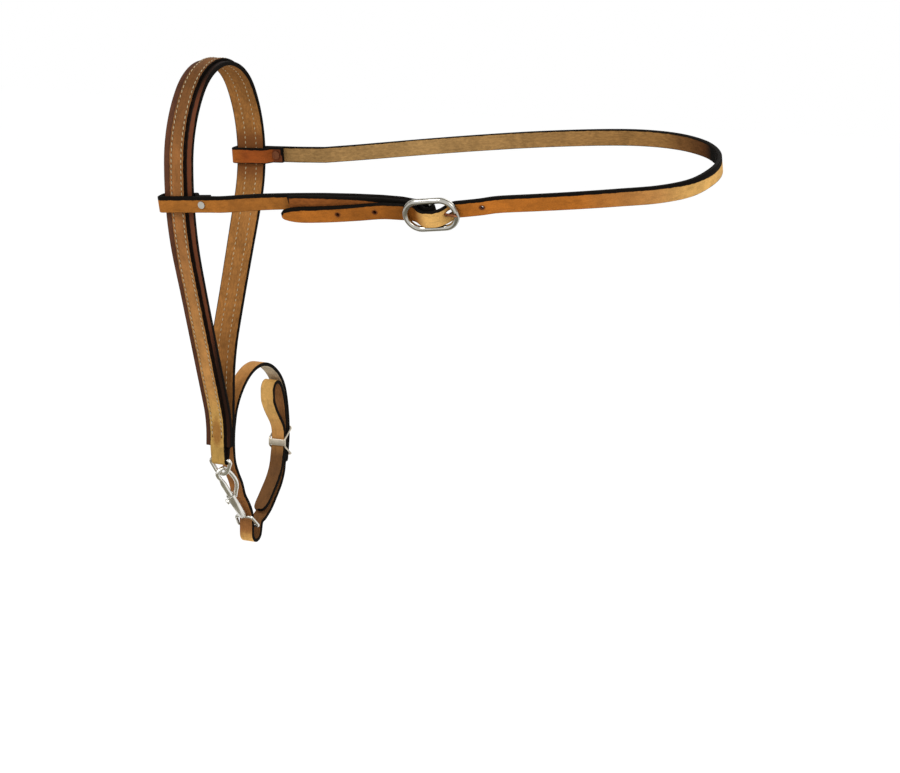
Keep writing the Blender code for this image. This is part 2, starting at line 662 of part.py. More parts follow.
def build_cheek_strap():
    fold = BUCKLE_BAR + CLEARANCE + FOLD_THICK / 2
    route, thick = [], []
    for u in (-TURNBACK_LENGTH, *CHEEK_RUNS):
        layer, out = cheek_layers(u, True)
        route.append(on_buckle(u, rise_at(CHEEK_RISE, u), out))
        thick.append(layer)
    for k in range(9):
        angle = math.pi / 2 - math.pi * k / 8
        route.append(on_buckle(fold * math.cos(angle), rise_at(CHEEK_RISE, 0.0),
                               -BUCKLE_BAR_BACK + fold * math.sin(angle)))
        thick.append(FOLD_THICK)
    for u in reversed(CHEEK_RUNS):
        layer, out = cheek_layers(u, False)
        route.append(on_buckle(u, rise_at(CHEEK_RISE, u), out))
        thick.append(layer)
    place, along, up, out = leg_frame(-1, NEAR_LOOP_DROP, NEAR_LEAN, NEAR_SLOPE)
    half = loop_half(NEAR_FACE_PLAY)
    _, last_out = cheek_layers(CHEEK_END, False)
    bend_x, bend_y, bend_up = CHEEK_BEND
    bridge = [route[-1], on_buckle(CHEEK_LEAVES, rise_at(CHEEK_RISE, CHEEK_LEAVES), last_out),
              (bend_x, bend_y, bend_up - NEAR_LOOP_DROP, *leaning(math.radians(18))),
              *((*(place + along * u + out * half), *up) for u in CHEEK_JOINING)]
    route = route[:-1] + smooth_route(bridge, 4)
    route += loop_route(-1, NEAR_LOOP_DROP, NEAR_LEAN, NEAR_SLOPE, NEAR_FACE_PLAY)
    thick += [STRAP_THICK] * (len(route) - len(thick))
    cheek = add_strap("cheek_strap", route_stations(route, thick_at=thick), TAN)
    placement = frame_matrix(BUCKLE_AT, *buckle_axes())
    slot = box_mesh("tongue_slot", placement, FOLD_SLOT_LOW, FOLD_SLOT_HIGH)
    cut(cheek, add_object("tongue_slot", slot, cutter=True))
    add_screw_hole(cheek, -1, NEAR_LOOP_DROP, NEAR_LEAN, NEAR_SLOPE, NEAR_FACE_PLAY, "near")
    outer, inner, direction = turnback_screw_line()
    spare = direction * HOLE_SPARE
    hole = rod_mesh("turnback_hole", POST_RADIUS + CLEARANCE, inner - spare, outer + spare, 16)
    cut(cheek, add_object("turnback_hole", hole, cutter=True))


# Chicago screws

def loop_screw_line(side, drop, lean, slope, face_play):
    """Outer face point, inner face point and outward direction of a loop's screw."""
    middle, along, _, out = leg_frame(side, drop, lean, slope)
    half = loop_half(face_play)
    at = middle + along * (base_half_width(0.0) + SCREW_REACH[side])
    return (at + out * (half + STRAP_THICK / 2), at + out * (half - 1.5 * STRAP_THICK - CLEARANCE), out)


def turnback_screw_line():
    u = TURNBACK_SCREW_AT
    front_thick, front = cheek_layers(u, True)
    back_thick, back = cheek_layers(u, False)
    v = rise_at(CHEEK_RISE, u)
    return (buckle_point(u, v, front + front_thick / 2), buckle_point(u, v, back - back_thick / 2),
            buckle_axes()[2])


def add_screw_hole(strap, side, drop, lean, slope, face_play, prefix):
    outer, inner, out = loop_screw_line(side, drop, lean, slope, face_play)
    name = prefix + "_screw_hole"
    spare = out * HOLE_SPARE
    hole = rod_mesh(name, POST_RADIUS + CLEARANCE, inner - spare, outer + spare, 16)
    cut(strap, add_object(name, hole, cutter=True))


def build_screw(prefix, outer, inner, out, head_out):
    """A Chicago screw: a flanged post through the leather and a screw into it."""
    barrel = rod_mesh(prefix + "_post", POST_RADIUS, inner - out * (CLEARANCE + JOIN), outer - out * JOIN)
    post = add_object(prefix + "_post", barrel, NICKEL)
    flange = rod_mesh(prefix + "_flange", POST_HEAD_RADIUS,
                      inner - out * (CLEARANCE + POST_HEAD_THICK), inner - out * CLEARANCE, 24)
    cut(post, add_object(prefix + "_flange", flange, cutter=True), "UNION")
    bore_from = inner + out * BORE_FLOOR
    bore = rod_mesh(prefix + "_bore", SCREW_RADIUS + CLEARANCE, bore_from, outer + out * HOLE_SPARE, 12)
    cut(post, add_object(prefix + "_bore", bore, cutter=True))
    smooth_by_angle(post)
    seat = outer + out * CLEARANCE
    disc = rod_mesh(prefix + "_screw", SCREW_HEAD_RADIUS, seat, seat + out * head_out, 24)
    head = add_object(prefix + "_screw", disc, NICKEL)
    shank_from = inner + out * (BORE_FLOOR + 2 * CLEARANCE)
    shank = rod_mesh(prefix + "_shank", SCREW_RADIUS, shank_from, seat + out * head_out / 2, 12)
    cut(head, add_object(prefix + "_shank", shank, cutter=True), "UNION")
    smooth_by_angle(head)


# Crown buckle

def buckle_outline():
    straight = BUCKLE_STRAIGHT / 2
    radius = BUCKLE_END_RADIUS
    points = []
    for side in (1, -1):
        for k in range(9):
            angle = side * math.pi / 2 - math.pi * k / 8
            across = side * straight + radius * math.cos(angle)
            points.append(Vector((across, radius * math.sin(angle), 0.0)))
    return points


def tongue_line():
    """Start and end of the tongue's straight part, from under the bar to the frame's end."""
    start = buckle_point(0.0, TONGUE_ROW, -BUCKLE_BAR_BACK - BUCKLE_BAR - CLEARANCE - TONGUE_WIRE)
    rim = BUCKLE_STRAIGHT / 2 + BUCKLE_END_RADIUS
    rest = BUCKLE_WIRE + CLEARANCE + TONGUE_WIRE
    over = buckle_point(rim, TONGUE_ROW, rest)
    return start, over + (over - start).normalized() * TONGUE_TIP


def build_crown_buckle():
    placement = frame_matrix(BUCKLE_AT, *buckle_axes())
    ring = [placement @ p for p in buckle_outline()]
    wire = tube_mesh("crown_buckle_frame", ring, BUCKLE_WIRE, True, 3)
    frame = add_object("crown_buckle_frame", wire, NICKEL)
    bar = rod_mesh("buckle_bar", BUCKLE_BAR, buckle_point(0, -BUCKLE_END_RADIUS, -BUCKLE_BAR_BACK),
                   buckle_point(0, BUCKLE_END_RADIUS, -BUCKLE_BAR_BACK), 16)
    cut(frame, add_object("buckle_bar", bar, cutter=True), "UNION")
    smooth_by_angle(frame)

    start, end = tongue_line()
    ring_radius = BUCKLE_BAR + CLEARANCE + TONGUE_WIRE
    circle = []
    for k in range(14):
        angle = -math.pi / 2 - 2 * math.pi * k / 14
        circle.append(buckle_point(ring_radius * math.cos(angle), TONGUE_ROW,
                                   -BUCKLE_BAR_BACK + ring_radius * math.sin(angle)))
    wire = tube_mesh("crown_buckle_tongue", circle, TONGUE_WIRE, True)
    tongue = add_object("crown_buckle_tongue", wire, NICKEL)
    shaft = tube_mesh("tongue_shaft", [start.lerp(end, k / 6) for k in range(7)], TONGUE_WIRE)
    cut(tongue, add_object("tongue_shaft", shaft, cutter=True), "UNION")
    smooth_by_angle(tongue)


# Dee, snap and swivel eye

def dee_axes():
    down = Vector((0.0, math.sin(DEE_LEAN), -math.cos(DEE_LEAN)))
    return Vector((1.0, 0.0, 0.0)), down


def dee_bottom():
    """Middle of the wire at the bottom of the dee's V."""
    half = math.atan(DEE_HALF_BAR / DEE_APEX)
    drop = DEE_APEX - DEE_BOTTOM_RADIUS * (1 / math.sin(half) - 1)
    return dee_bar_middle() + dee_axes()[1] * drop


def build_dee():
    across, down = dee_axes()
    bar = dee_bar_middle()
    corners = [bar - across * DEE_HALF_BAR, bar + across * DEE_HALF_BAR, bar + down * DEE_APEX]
    ring = rounded_polygon(corners, (DEE_CORNER, DEE_CORNER, DEE_BOTTOM_RADIUS))
    dee = add_object("dee_ring", tube_mesh("dee_ring", ring, DEE_WIRE, True, 3), NICKEL)
    smooth_by_angle(dee, 60.0)


def snap_axes():
    """Reach of the hook, square to the hook's plane, and down the snap."""
    down = Vector((math.sin(SNAP_SIDE), math.cos(SNAP_SIDE) * math.sin(SNAP_LEAN),
                   -math.cos(SNAP_SIDE) * math.cos(SNAP_LEAN)))
    side = Vector((1.0, 0.0, 0.0))
    side = (side - down * side.dot(down)).normalized()
    back = side.cross(down)
    reach = side * math.cos(SNAP_TURN) + back * math.sin(SNAP_TURN)
    return reach, down.cross(reach), down


def snap_point(r, q, s):
    reach, square, down = snap_axes()
    nose = dee_bottom() - reach * DEE_IN_HOOK[0] - down * DEE_IN_HOOK[1]
    return nose + reach * r + square * q + down * s


def down_rod(name, radius, start, end, sides):
    """A rod along the snap's own axis."""
    return rod_mesh(name, radius, snap_point(0, 0, start), snap_point(0, 0, end), sides)


def hook_route():
    wide = HOOK_REACH
    hook = [(0.0, BOLT_NOSE - 0.0006), (-0.0006, 0.0010), (0.0006, -0.7 * HOOK_TOP),
            (0.0050, -HOOK_TOP), (0.68 * wide, -0.0038), (0.89 * wide, 0.0029),
            (wide, 0.0125), (wide, 0.0210), (0.84 * wide, 0.0285), (0.55 * wide, 0.0340), (0.0040, 0.0390)]
    return smooth_route([snap_point(r, 0, s) for r, s in hook], 3)


def build_snap():
    hook = tube_mesh("snap_body", hook_route(), HOOK_WIRE, False, 3)
    body = add_object("snap_body", hook, NICKEL)
    barrel = down_rod("barrel", BARREL_RADIUS, BARREL_TOP, BARREL_END, 24)
    cut(body, add_object("barrel", barrel, cutter=True), "UNION")
    bore = down_rod("barrel_bore", BARREL_BORE, BOLT_NOSE, BARREL_FLOOR, 20)
    cut(body, add_object("barrel_bore", bore, cutter=True))
    small = down_rod("swivel_bore", SWIVEL_BORE, BARREL_FLOOR - HOLE_SPARE, BARREL_END + HOLE_SPARE, 16)
    cut(body, add_object("swivel_bore", small, cutter=True))
    placement = frame_matrix(snap_point(0, 0, 0), *snap_axes())
    slot_half = KNOB_STEM + CLEARANCE
    slot = box_mesh("knob_slot", placement, (-BARREL_RADIUS * 1.5, -slot_half, KNOB_AT - slot_half),
                    (0.0, slot_half, KNOB_AT + BOLT_TRAVEL + slot_half + CLEARANCE))
    cut(body, add_object("knob_slot", slot, cutter=True))
    smooth_by_angle(body)

    bolt = add_object("snap_bolt", bolt_mesh(), NICKEL)
    knob_from = BARREL_RADIUS + 2 * CLEARANCE
    stem = rod_mesh("knob_stem", KNOB_STEM, snap_point(-BOLT_RADIUS / 2, 0, KNOB_AT),
                    snap_point(-knob_from - KNOB_THICK / 4, 0, KNOB_AT), 16)
    cut(bolt, add_object("knob_stem", stem, cutter=True), "UNION")
    knob = rod_mesh("knob", KNOB_RADIUS, snap_point(-knob_from, 0, KNOB_AT),
                    snap_point(-knob_from - KNOB_THICK, 0, KNOB_AT), 20)
    cut(bolt, add_object("knob", knob, cutter=True), "UNION")
    smooth_by_angle(bolt)

    spring = add_object("snap_spring", tube_mesh("snap_spring", spring_route(), SPRING_WIRE, False, 1), STEEL)
    smooth_by_angle(spring, 60.0)


def spring_route():
    coil = (BARREL_BORE + SWIVEL_STEM) / 2
    low = BOLT_TAIL + CLEARANCE + SPRING_WIRE
    high = swivel_head_top() - CLEARANCE - SPRING_WIRE
    steps = SPRING_TURNS * 8
    turns = []
    for k in range(steps + 1):
        angle = 2 * math.pi * k / 8
        turns.append(snap_point(coil * math.cos(angle), coil * math.sin(angle),
                                low + (high - low) * k / steps))
    return turns


def bolt_mesh():
    """The bolt's rod, tapered at its nose."""
    profile = [(BOLT_NOSE, BOLT_NOSE_RADIUS * 0.7), (BOLT_NOSE + 0.0008, BOLT_NOSE_RADIUS),
               (BOLT_NOSE + BOLT_TAPER, BOLT_RADIUS), (BOLT_TAIL, BOLT_RADIUS)]
    sides = 20
    work = bmesh.new()
    rings = []
    for s, radius in profile:
        rings.append([work.verts.new(snap_point(radius * math.cos(2 * math.pi * k / sides),
                                                radius * math.sin(2 * math.pi * k / sides), s))
                      for k in range(sides)])
    for ring, following in zip(rings, rings[1:]):
        for k in range(sides):
            work.faces.new((ring[k], ring[(k + 1) % sides], following[(k + 1) % sides], following[k]))
    work.faces.new(rings[0])
    work.faces.new(rings[-1])
    bmesh.ops.recalc_face_normals(work, faces=work.faces)
    mesh = bpy.data.meshes.new("snap_bolt")
    work.to_mesh(mesh)
    work.free()
    return mesh


def swivel_head_top():
    return BARREL_FLOOR - CLEARANCE - SWIVEL_HEAD_THICK


def eye_bar():
    return snap_point(0, 0, EYE_BOTTOM)


def build_swivel_eye():
    _, _, down = snap_axes()
    side = Vector((1.0, 0.0, 0.0))
    side = (side - down * side.dot(down)).normalized()
    half = STRAP_WIDTH / 2 + EYE_BOTTOM_PLAY + EYE_WIRE
    top, low = snap_point(0, 0, EYE_TOP), eye_bar()
    corners = [top - side * EYE_TOP_HALF, top + side * EYE_TOP_HALF, low + side * half, low - side * half]
    ring = rounded_polygon(corners, (EYE_TOP_CORNER, EYE_TOP_CORNER, EYE_LOW_CORNER, EYE_LOW_CORNER))
    eye = add_object("swivel_eye", tube_mesh("swivel_eye", ring, EYE_WIRE, True, 3), NICKEL)
    pieces = [("eye_stem", SWIVEL_STEM, swivel_head_top() + JOIN, EYE_TOP),
              ("eye_head", SWIVEL_HEAD, swivel_head_top(), BARREL_FLOOR - CLEARANCE),
              ("eye_collar", EYE_COLLAR, BARREL_END + CLEARANCE, EYE_TOP - JOIN)]
    for name, radius, start, end in pieces:
        rod = down_rod(name, radius, start, end, 20)
        cut(eye, add_object(name, rod, cutter=True), "UNION")
    smooth_by_angle(eye)


# Tie-down loop and its slide buckle

OVER_TOP = [                   # y, z from the eye's bar: outer layer, over the top and down the near leg
    (0.0690, 0.0555), (0.0700, 0.0625), (0.0713, 0.0710), (0.0724, 0.0840), (0.0721, 0.0970),
    (0.0703, 0.1110), (0.0672, 0.1250), (0.0623, 0.1390), (0.0545, 0.1508), (0.0430, 0.1608),
    (0.0295, 0.1681), (0.0155, 0.1712), (0.0022, 0.1702), (-0.0092, 0.1664), (-0.0190, 0.1604),
    (-0.0278, 0.1525), (-0.0352, 0.1430), (-0.0408, 0.1322), (-0.0439, 0.1200), (-0.0448, 0.1070),
    (-0.0438, 0.0920), (-0.0408, 0.0772), (-0.0339, 0.0640), (-0.0258, 0.0516), (-0.0198, 0.0378),
    (-0.0116, 0.0269), (-0.0058, 0.0167), (-0.0041, 0.0070)]
LOOP_HOLE_ROWS = (17, 19, 21)   # places of the near leg's holes in the list above
NEAR_LEG_SIDE = 0.0015      # the near leg of the loop stands this far aside, half way up
NEAR_LEG_TOP = 0.12
FAR_LEG = [                    # up the far leg, through the buckle, the curl, and down inside
    (0.0158, 0.0006), (0.0230, 0.0038), (0.0350, 0.0113), (0.0462, 0.0222), (0.0565, 0.0335),
    (0.0626, 0.0450), (0.0646, 0.0550), (0.0656, 0.0626), (0.0671, 0.0715), (0.0682, 0.0840),
    (0.0679, 0.0967), (0.0660, 0.1102), (0.0631, 0.1237), (0.0600, 0.1325), (0.0562, 0.1398),
    (0.0516, 0.1452), (0.0463, 0.1474), (0.0415, 0.1460), (0.0386, 0.1413), (0.0385, 0.1350),
    (0.0396, 0.1271), (0.0446, 0.1183), (0.0512, 0.1098), (0.0578, 0.1020), (0.0622, 0.0948),
    (0.0640, 0.0840), (0.0629, 0.0720), (0.0614, 0.0632), (0.0600, 0.0562), (0.0572, 0.0487),
    (0.0508, 0.0393), (0.0402, 0.0284), (0.0302, 0.0190), (0.0206, 0.0118)]


def loop_place(y, z):
    """A point of the loop's outline, carried by the eye's bar."""
    return eye_bar() + Vector((0.0, y, z))


def loop_turn():
    """The turn round the eye's bar: its front side lies on the bar."""
    front = EYE_WIRE + CLEARANCE + LOOP_THICK / 2
    middle = Vector((-front + LOOP_TURN_RADIUS, -LOOP_TURN_DROP))
    points = []
    for k in range(8):
        angle = math.pi + math.radians(165) * k / 7
        points.append((middle.x + LOOP_TURN_RADIUS * math.cos(angle),
                       middle.y + LOOP_TURN_RADIUS * math.sin(angle)))
    return points


def layer_out(count):
    """Middle of the loop's layers at the slide buckle: 0 is the outer, 2 the inner one."""
    return LOOP_OUTER_AT - count * (LOOP_THICK + LAYER_GAP)


def leg_aside(y, z):
    """How far the loop's near leg stands aside at a point of the outline."""
    if y >= 0:
        return 0.0
    return -NEAR_LEG_SIDE * math.sin(math.pi * min(1.0, z / NEAR_LEG_TOP))


def build_loop_strap():
    route = [Vector((leg_aside(y, z), y, z)) for y, z in OVER_TOP]
    route += [Vector((0.0, y, z)) for y, z in loop_turn() + FAR_LEG]
    places = [eye_bar() + p for p in smooth_route(route, 2)]
    across = Vector((1.0, 0.0, 0.0))
    stations = []
    gone = 0.0
    total = sum((b - a).length for a, b in zip(places, places[1:]))
    for i, place in enumerate(places):
        ahead = (places[min(i + 1, len(places) - 1)] - places[max(i - 1, 0)]).normalized()
        if i:
            gone += (place - places[i - 1]).length
        half = min(tip_half_width(gone, STRAP_WIDTH / 2, *LOOP_START_TIP),
                   tip_half_width(total - gone, STRAP_WIDTH / 2, *LOOP_END_TIP))
        stations.append((place, across, across.cross(ahead), half, LOOP_THICK / 2))
    loop = add_strap("loop_strap", stations, TAN)
    pin = loop_pin_line()
    spare = Vector((0.0, HOLE_SPARE, 0.0))
    hole = rod_mesh("pin_hole", HOLE_RADIUS, pin[0] - spare, pin[1] + spare, 16)
    cut(loop, add_object("pin_hole", hole, cutter=True))
    reach = Vector((0.0, LOOP_THICK / 2 + 2 * HOLE_SPARE, 0.0))
    for k, row in enumerate(LOOP_HOLE_ROWS):
        middle = loop_place(*OVER_TOP[row])
        name = "loop_hole_%d" % k
        hole = rod_mesh(name, HOLE_RADIUS, middle - reach, middle + reach, 16)
        cut(loop, add_object(name, hole, cutter=True))


def loop_bar_out():
    return layer_out(2) - LOOP_THICK / 2 - LOOP_BAR_GAP - LOOP_BAR_THICK / 2


def loop_pin_line():
    tip = layer_out(0) + LOOP_THICK / 2 + 2 * JOIN
    return loop_place(loop_bar_out(), LOOP_BUCKLE_UP), loop_place(tip, LOOP_BUCKLE_UP)


def build_loop_buckle():
    wire = LOOP_BUCKLE_WIRE
    half_wide = STRAP_WIDTH / 2 + LOOP_BUCKLE_SIDE
    end_out = layer_out(0) + LOOP_THICK / 2 + 2 * CLEARANCE + wire
    bar_out = loop_bar_out()
    points = []
    steps = 12
    for side in (1, -1):
        for k in range(steps + 1):
            up = LOOP_BUCKLE_HALF * math.cos(math.pi * k / steps) * side
            flat = 1.0 - abs(up / LOOP_BUCKLE_HALF) ** 3
            bow = min(1.0, abs(up) / (LOOP_BUCKLE_HALF * LOOP_BUCKLE_CROSS)) ** 1.3
            points.append(loop_place(bar_out + (end_out - bar_out) * bow, LOOP_BUCKLE_UP + up)
                          + Vector((side * half_wide * flat ** 0.5, 0.0, 0.0)))
    unique = [p for p, q in zip(points, points[1:] + points[:1]) if (p - q).length > 0.0004]
    frame = add_object("loop_buckle", tube_mesh("loop_buckle", unique, wire, True, 2), NICKEL)
    bar = box_mesh("loop_buckle_bar", Matrix.Translation(loop_place(bar_out, LOOP_BUCKLE_UP)),
                   (-half_wide, -LOOP_BAR_THICK / 2, -LOOP_BAR_WIDTH / 2),
                   (half_wide, LOOP_BAR_THICK / 2, LOOP_BAR_WIDTH / 2))
    cut(frame, add_object("loop_buckle_bar", bar, cutter=True), "UNION")
    start, end = loop_pin_line()
    pin = rod_mesh("loop_buckle_pin", LOOP_PIN, start, end, 16)
    cut(frame, add_object("loop_buckle_pin", pin, cutter=True), "UNION")
    smooth_by_angle(frame)


def set_origin(names, point):
    """Puts the pieces' own origins on the joint that they turn or slide on, without moving them."""
    for name in names:
        item = bpy.data.objects[name]
        item.data.transform(Matrix.Translation(-point))
        item.location = point


def place_origins():
    crown = ("crown_strap", "cheek_strap", "near_post", "near_screw", "far_post", "far_screw",
             "turnback_post", "turnback_screw", "crown_buckle_frame")
    set_origin(crown, leg_frame(-1, NEAR_LOOP_DROP, NEAR_LEAN, NEAR_SLOPE)[0])
    set_origin(("crown_buckle_tongue",), buckle_point(0.0, 0.0, -BUCKLE_BAR_BACK))
    set_origin(("dee_ring",), dee_bar_middle())
    set_origin(("snap_body", "snap_spring"), dee_bottom())
    set_origin(("snap_bolt", "swivel_eye"), snap_point(0.0, 0.0, BARREL_FLOOR))
    set_origin(("loop_strap", "loop_buckle"), eye_bar())


def build():
    build_noseband()
    build_crown_strap()
    build_cheek_strap()
    near = loop_screw_line(-1, NEAR_LOOP_DROP, NEAR_LEAN, NEAR_SLOPE, NEAR_FACE_PLAY)
    far = loop_screw_line(1, FAR_LOOP_DROP, FAR_LEAN, FAR_SLOPE, FAR_FACE_PLAY)
    build_screw("near", *near, SCREW_HEAD_THICK)
    build_screw("far", *far, SCREW_HEAD_THICK)
    build_screw("turnback", *turnback_screw_line(), POST_HEAD_THICK - CLEARANCE)
    build_crown_buckle()
    build_dee()
    build_snap()
    build_swivel_eye()
    build_loop_strap()
    build_loop_buckle()
    place_origins()


clear_scene()
PARTS = new_collection("tie_down_noseband")
CUTTERS = new_collection("cutters")
CHESTNUT = make_material("chestnut_leather", (0.20, 0.060, 0.022), 0.45)
TAN = make_material("tan_leather", (0.52, 0.25, 0.075), 0.45)
NICKEL = make_material("nickel_plate", (0.72, 0.70, 0.64), 0.22, 1.0)
STEEL = make_material("spring_steel", (0.45, 0.45, 0.46), 0.35, 1.0)
build()
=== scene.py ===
"""Looks of the tie-down noseband: leather straps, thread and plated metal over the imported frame.

Each strap is cut, punched and stitched flat on the bench, with its length along X, its width along Y
and its thickness along Z, and is then laid along the route that its solid follows. Metres, +Z up. The
origin is the inside top of the noseband's arch, the crown strap runs to +X, and the near side is -Y.
"""
import math
from types import SimpleNamespace

import bpy
import numpy as np
from bpy.props import FloatProperty, FloatVectorProperty, PointerProperty
from mathutils import Matrix, Vector


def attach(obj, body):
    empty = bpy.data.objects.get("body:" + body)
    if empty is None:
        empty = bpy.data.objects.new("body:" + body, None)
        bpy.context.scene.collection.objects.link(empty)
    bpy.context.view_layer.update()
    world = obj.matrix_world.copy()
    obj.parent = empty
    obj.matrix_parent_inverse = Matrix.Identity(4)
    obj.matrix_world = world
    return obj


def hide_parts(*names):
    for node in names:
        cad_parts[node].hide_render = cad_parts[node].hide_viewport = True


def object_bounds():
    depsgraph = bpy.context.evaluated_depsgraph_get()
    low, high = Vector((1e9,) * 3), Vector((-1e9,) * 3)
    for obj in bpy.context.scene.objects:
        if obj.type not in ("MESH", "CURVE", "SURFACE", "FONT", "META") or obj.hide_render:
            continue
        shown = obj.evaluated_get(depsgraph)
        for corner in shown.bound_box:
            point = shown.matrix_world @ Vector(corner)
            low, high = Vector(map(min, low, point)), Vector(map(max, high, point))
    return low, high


bl_info = {
    "name": "Tie-down noseband",
    "version": (1, 0, 0),
    "blender": (4, 5, 0),
    "location": "View3D > Sidebar > Noseband",
    "description": "Leather noseband with its crown strap, buckles, dee, bolt snap and tie-down loop",
    "category": "Object",
}

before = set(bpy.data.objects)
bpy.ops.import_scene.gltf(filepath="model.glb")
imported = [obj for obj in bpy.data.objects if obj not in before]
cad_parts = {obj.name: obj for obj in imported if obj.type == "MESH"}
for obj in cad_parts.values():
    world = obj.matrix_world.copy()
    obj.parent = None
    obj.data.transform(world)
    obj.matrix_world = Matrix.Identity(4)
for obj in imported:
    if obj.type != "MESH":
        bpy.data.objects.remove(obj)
CAD_BOX = [list(corner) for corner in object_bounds()]
FLOOR_HEIGHT = CAD_BOX[0][2] - 0.062   # under the small loop in every pose

# Leather stock, as in the solids
CLEARANCE = 0.0003
STRAP_WIDTH = 0.0159
STRAP_THICK = 0.0042
BASE_WIDTH = 0.0314
BASE_LOW_WIDTH = 0.0292
BASE_NARROWS = (0.130, 0.240)
BASE_THICK = 0.0040
OVERLAY_THICK = 0.0026
LOOP_THICK = 0.0038
OVERLAY_OFFSET = (BASE_THICK + OVERLAY_THICK) / 2 + CLEARANCE
HOLE_RADIUS = 0.0021

# Noseband outline
ARCH_TOP_RADIUS = 0.0601
ARCH_TOP_ANGLE = math.radians(55.0)
TAIL_SHIFT = 0.0130
BASE_DROP = 0.3881
LEGS = {                       # side: bends above and below the widest place, bend into the end, straight end
    -1: (0.1170, 0.300, 0.100, 0.0085),
    1: (0.1313, 0.130, 0.180, 0.0651)}
LEG_TAPER = (math.radians(2.0), math.radians(45.0))   # a leg's taper is found between these

# Loops round the noseband's legs
NEAR_LOOP = dict(side=-1, drop=0.1306, lean=math.radians(10.0), slope=math.radians(4.0), play=0.0010)
FAR_LOOP = dict(side=1, drop=0.0938, lean=math.radians(6.0), slope=math.radians(2.0), play=0.0013)
LOOP_END_PLAY = 0.0008
LOOP_CORNER = 0.0036
LOOP_CLOSE = 0.0070
SCREW_REACH = {-1: 0.0146, 1: 0.0122}
LOOP_TAIL = 0.0070
FAR_JOINING = (0.052, 0.036, 0.020)    # the strap runs level with the loop from here on, towards its middle
NEAR_JOINING = (0.054, 0.038, 0.022)
LOOP_LEVEL = 0.004                     # the loop's layers begin this far past its middle
LOOP_EASE = 0.001                      # and end this far before its corners

# Crown buckle
BUCKLE_AT = Vector((0.2797, -0.0925, -0.1206))
BUCKLE_SLOPE = math.radians(7.0)
BUCKLE_LEAN = math.radians(24.0)
BUCKLE_STRAIGHT = 0.0224
BUCKLE_END_RADIUS = 0.0141
BUCKLE_WIRE = 0.0028
BUCKLE_BAR = 0.0016
BUCKLE_BAR_BACK = 0.0034
BILLET_FALL = (0.0030, 0.0198)
BILLET_FLAT = 0.0070
TONGUE_WIRE = 0.0012
TONGUE_TIP = 0.0035
TONGUE_ROW = -0.0004
ONWARD_ROW = 0.0014
TONGUE_HOLE_AT = 0.0162
HOLES_AT = (-0.0960, -0.0575, 0.0500)
HOLE_ROW = 0.0024
FOLD_THICK = 0.0026
TURNBACK_THICK = 0.0036
TURNBACK_LENGTH = 0.147
TURNBACK_SCREW_AT = -0.052
POST_HEAD_THICK = 0.0009
BILLET_TIP = (0.026, 0.28)  # length, and the part of the width that is left at its end
FOLD_EASE = (0.006, 0.030)  # both layers thicken from the fold's thinness from here, over this length
HEAD_ROOM = (0.020, 0.015)  # the turnback leaves room for its screw's head from here, over this length
WINDOW_SAG = 0.0022         # the billet lies this much lower inside the buckle's window
WINDOW_EDGE = (0.010, 0.016)   # it rises again from here, over this length
CHEEK_LEAVES = -0.1205      # the cheek strap's back layer runs straight to here
CHEEK_BRIDGE_FROM = -0.145
CHEEK_BRIDGE = (0.097, -0.0838, 0.0085, 18.0)   # x, y, height above the near loop, lean in degrees
TONGUE_SLOT_RADIUS = 0.0020
TONGUE_SLOT_RUN = 0.0065
TONGUE_HOLE_PLAY = 0.0010
TONGUE_HOLE_STRETCH = 2.3
TONGUE_STEPS = 18
TONGUE_THINS = (0.92, 0.72, 0.35)

TAIL_ROUTE = [(-0.155, 0.0066), (-0.138, 0.0052), (-0.110, 0.0040), (-0.080, 0.0038),
              (-0.053, 0.0042), (-0.036, 0.0026)]
CHEEK_RISE = [(-0.160, 0.0150), (-0.139, 0.0146), (-0.110, 0.0126), (-0.080, 0.0100),
              (-0.053, 0.0070), (-0.036, 0.0044), (-0.024, 0.0026), (-0.012, 0.0008), (0.0, -0.0004)]
ONWARD_START = [(0.037, 0.0018), (0.049, HOLE_ROW)]
CROWN_ROUTE = [                # x, y, height above the origin, lean in degrees
    (0.345, -0.0868, -0.1070, 22), (0.382, -0.0870, -0.1028, 20), (0.420, -0.0852, -0.0984, 17),
    (0.456, -0.0795, -0.0940, 14), (0.488, -0.0645, -0.0902, 13), (0.509, -0.0410, -0.0850, 14),
    (0.5182, -0.0125, -0.0770, 17), (0.5172, 0.0150, -0.0702, 20), (0.507, 0.0405, -0.0642, 20),
    (0.488, 0.0615, -0.0587, 19), (0.458, 0.0760, -0.0548, 17), (0.420, 0.0830, -0.0538, 15),
    (0.376, 0.0848, -0.0558, 12), (0.313, 0.0855, -0.0612, 9), (0.250, 0.0855, -0.0682, 8),
    (0.186, 0.0850, -0.0762, 7), (0.120, 0.0838, -0.0850, 6), (0.080, 0.0828, -0.0900, 6)]

# Dee, snap and swivel eye
DEE_WIRE = 0.0021
DEE_BAR_DROP = 0.0147
DEE_HALF_BAR = 0.0127
DEE_APEX = 0.0270
DEE_CORNER = 0.0028
DEE_BOTTOM_RADIUS = 0.0077
DEE_LEAN = math.radians(16.0)
SNAP_LEAN = math.radians(41.3)
SNAP_SIDE = math.radians(3.2)
SNAP_TURN = math.radians(58.0)
HOOK_WIRE = 0.0022
HOOK_REACH = 0.0132
HOOK_TOP = 0.0048
DEE_IN_HOOK = (0.0048, 0.0016)
BARREL_RADIUS = 0.0045
BARREL_BORE = 0.0035
BARREL_TOP = 0.0330
BARREL_END = 0.0670
BARREL_FLOOR = 0.0610
BOLT_RADIUS = 0.0031
BOLT_NOSE = 0.0062
BOLT_NOSE_RADIUS = 0.0021
BOLT_TAPER = 0.0080
BOLT_TAIL = 0.0430
KNOB_AT = 0.0385
KNOB_RADIUS = 0.0032
KNOB_THICK = 0.0024
KNOB_STEM = 0.0014
BOLT_TRAVEL = 0.0080
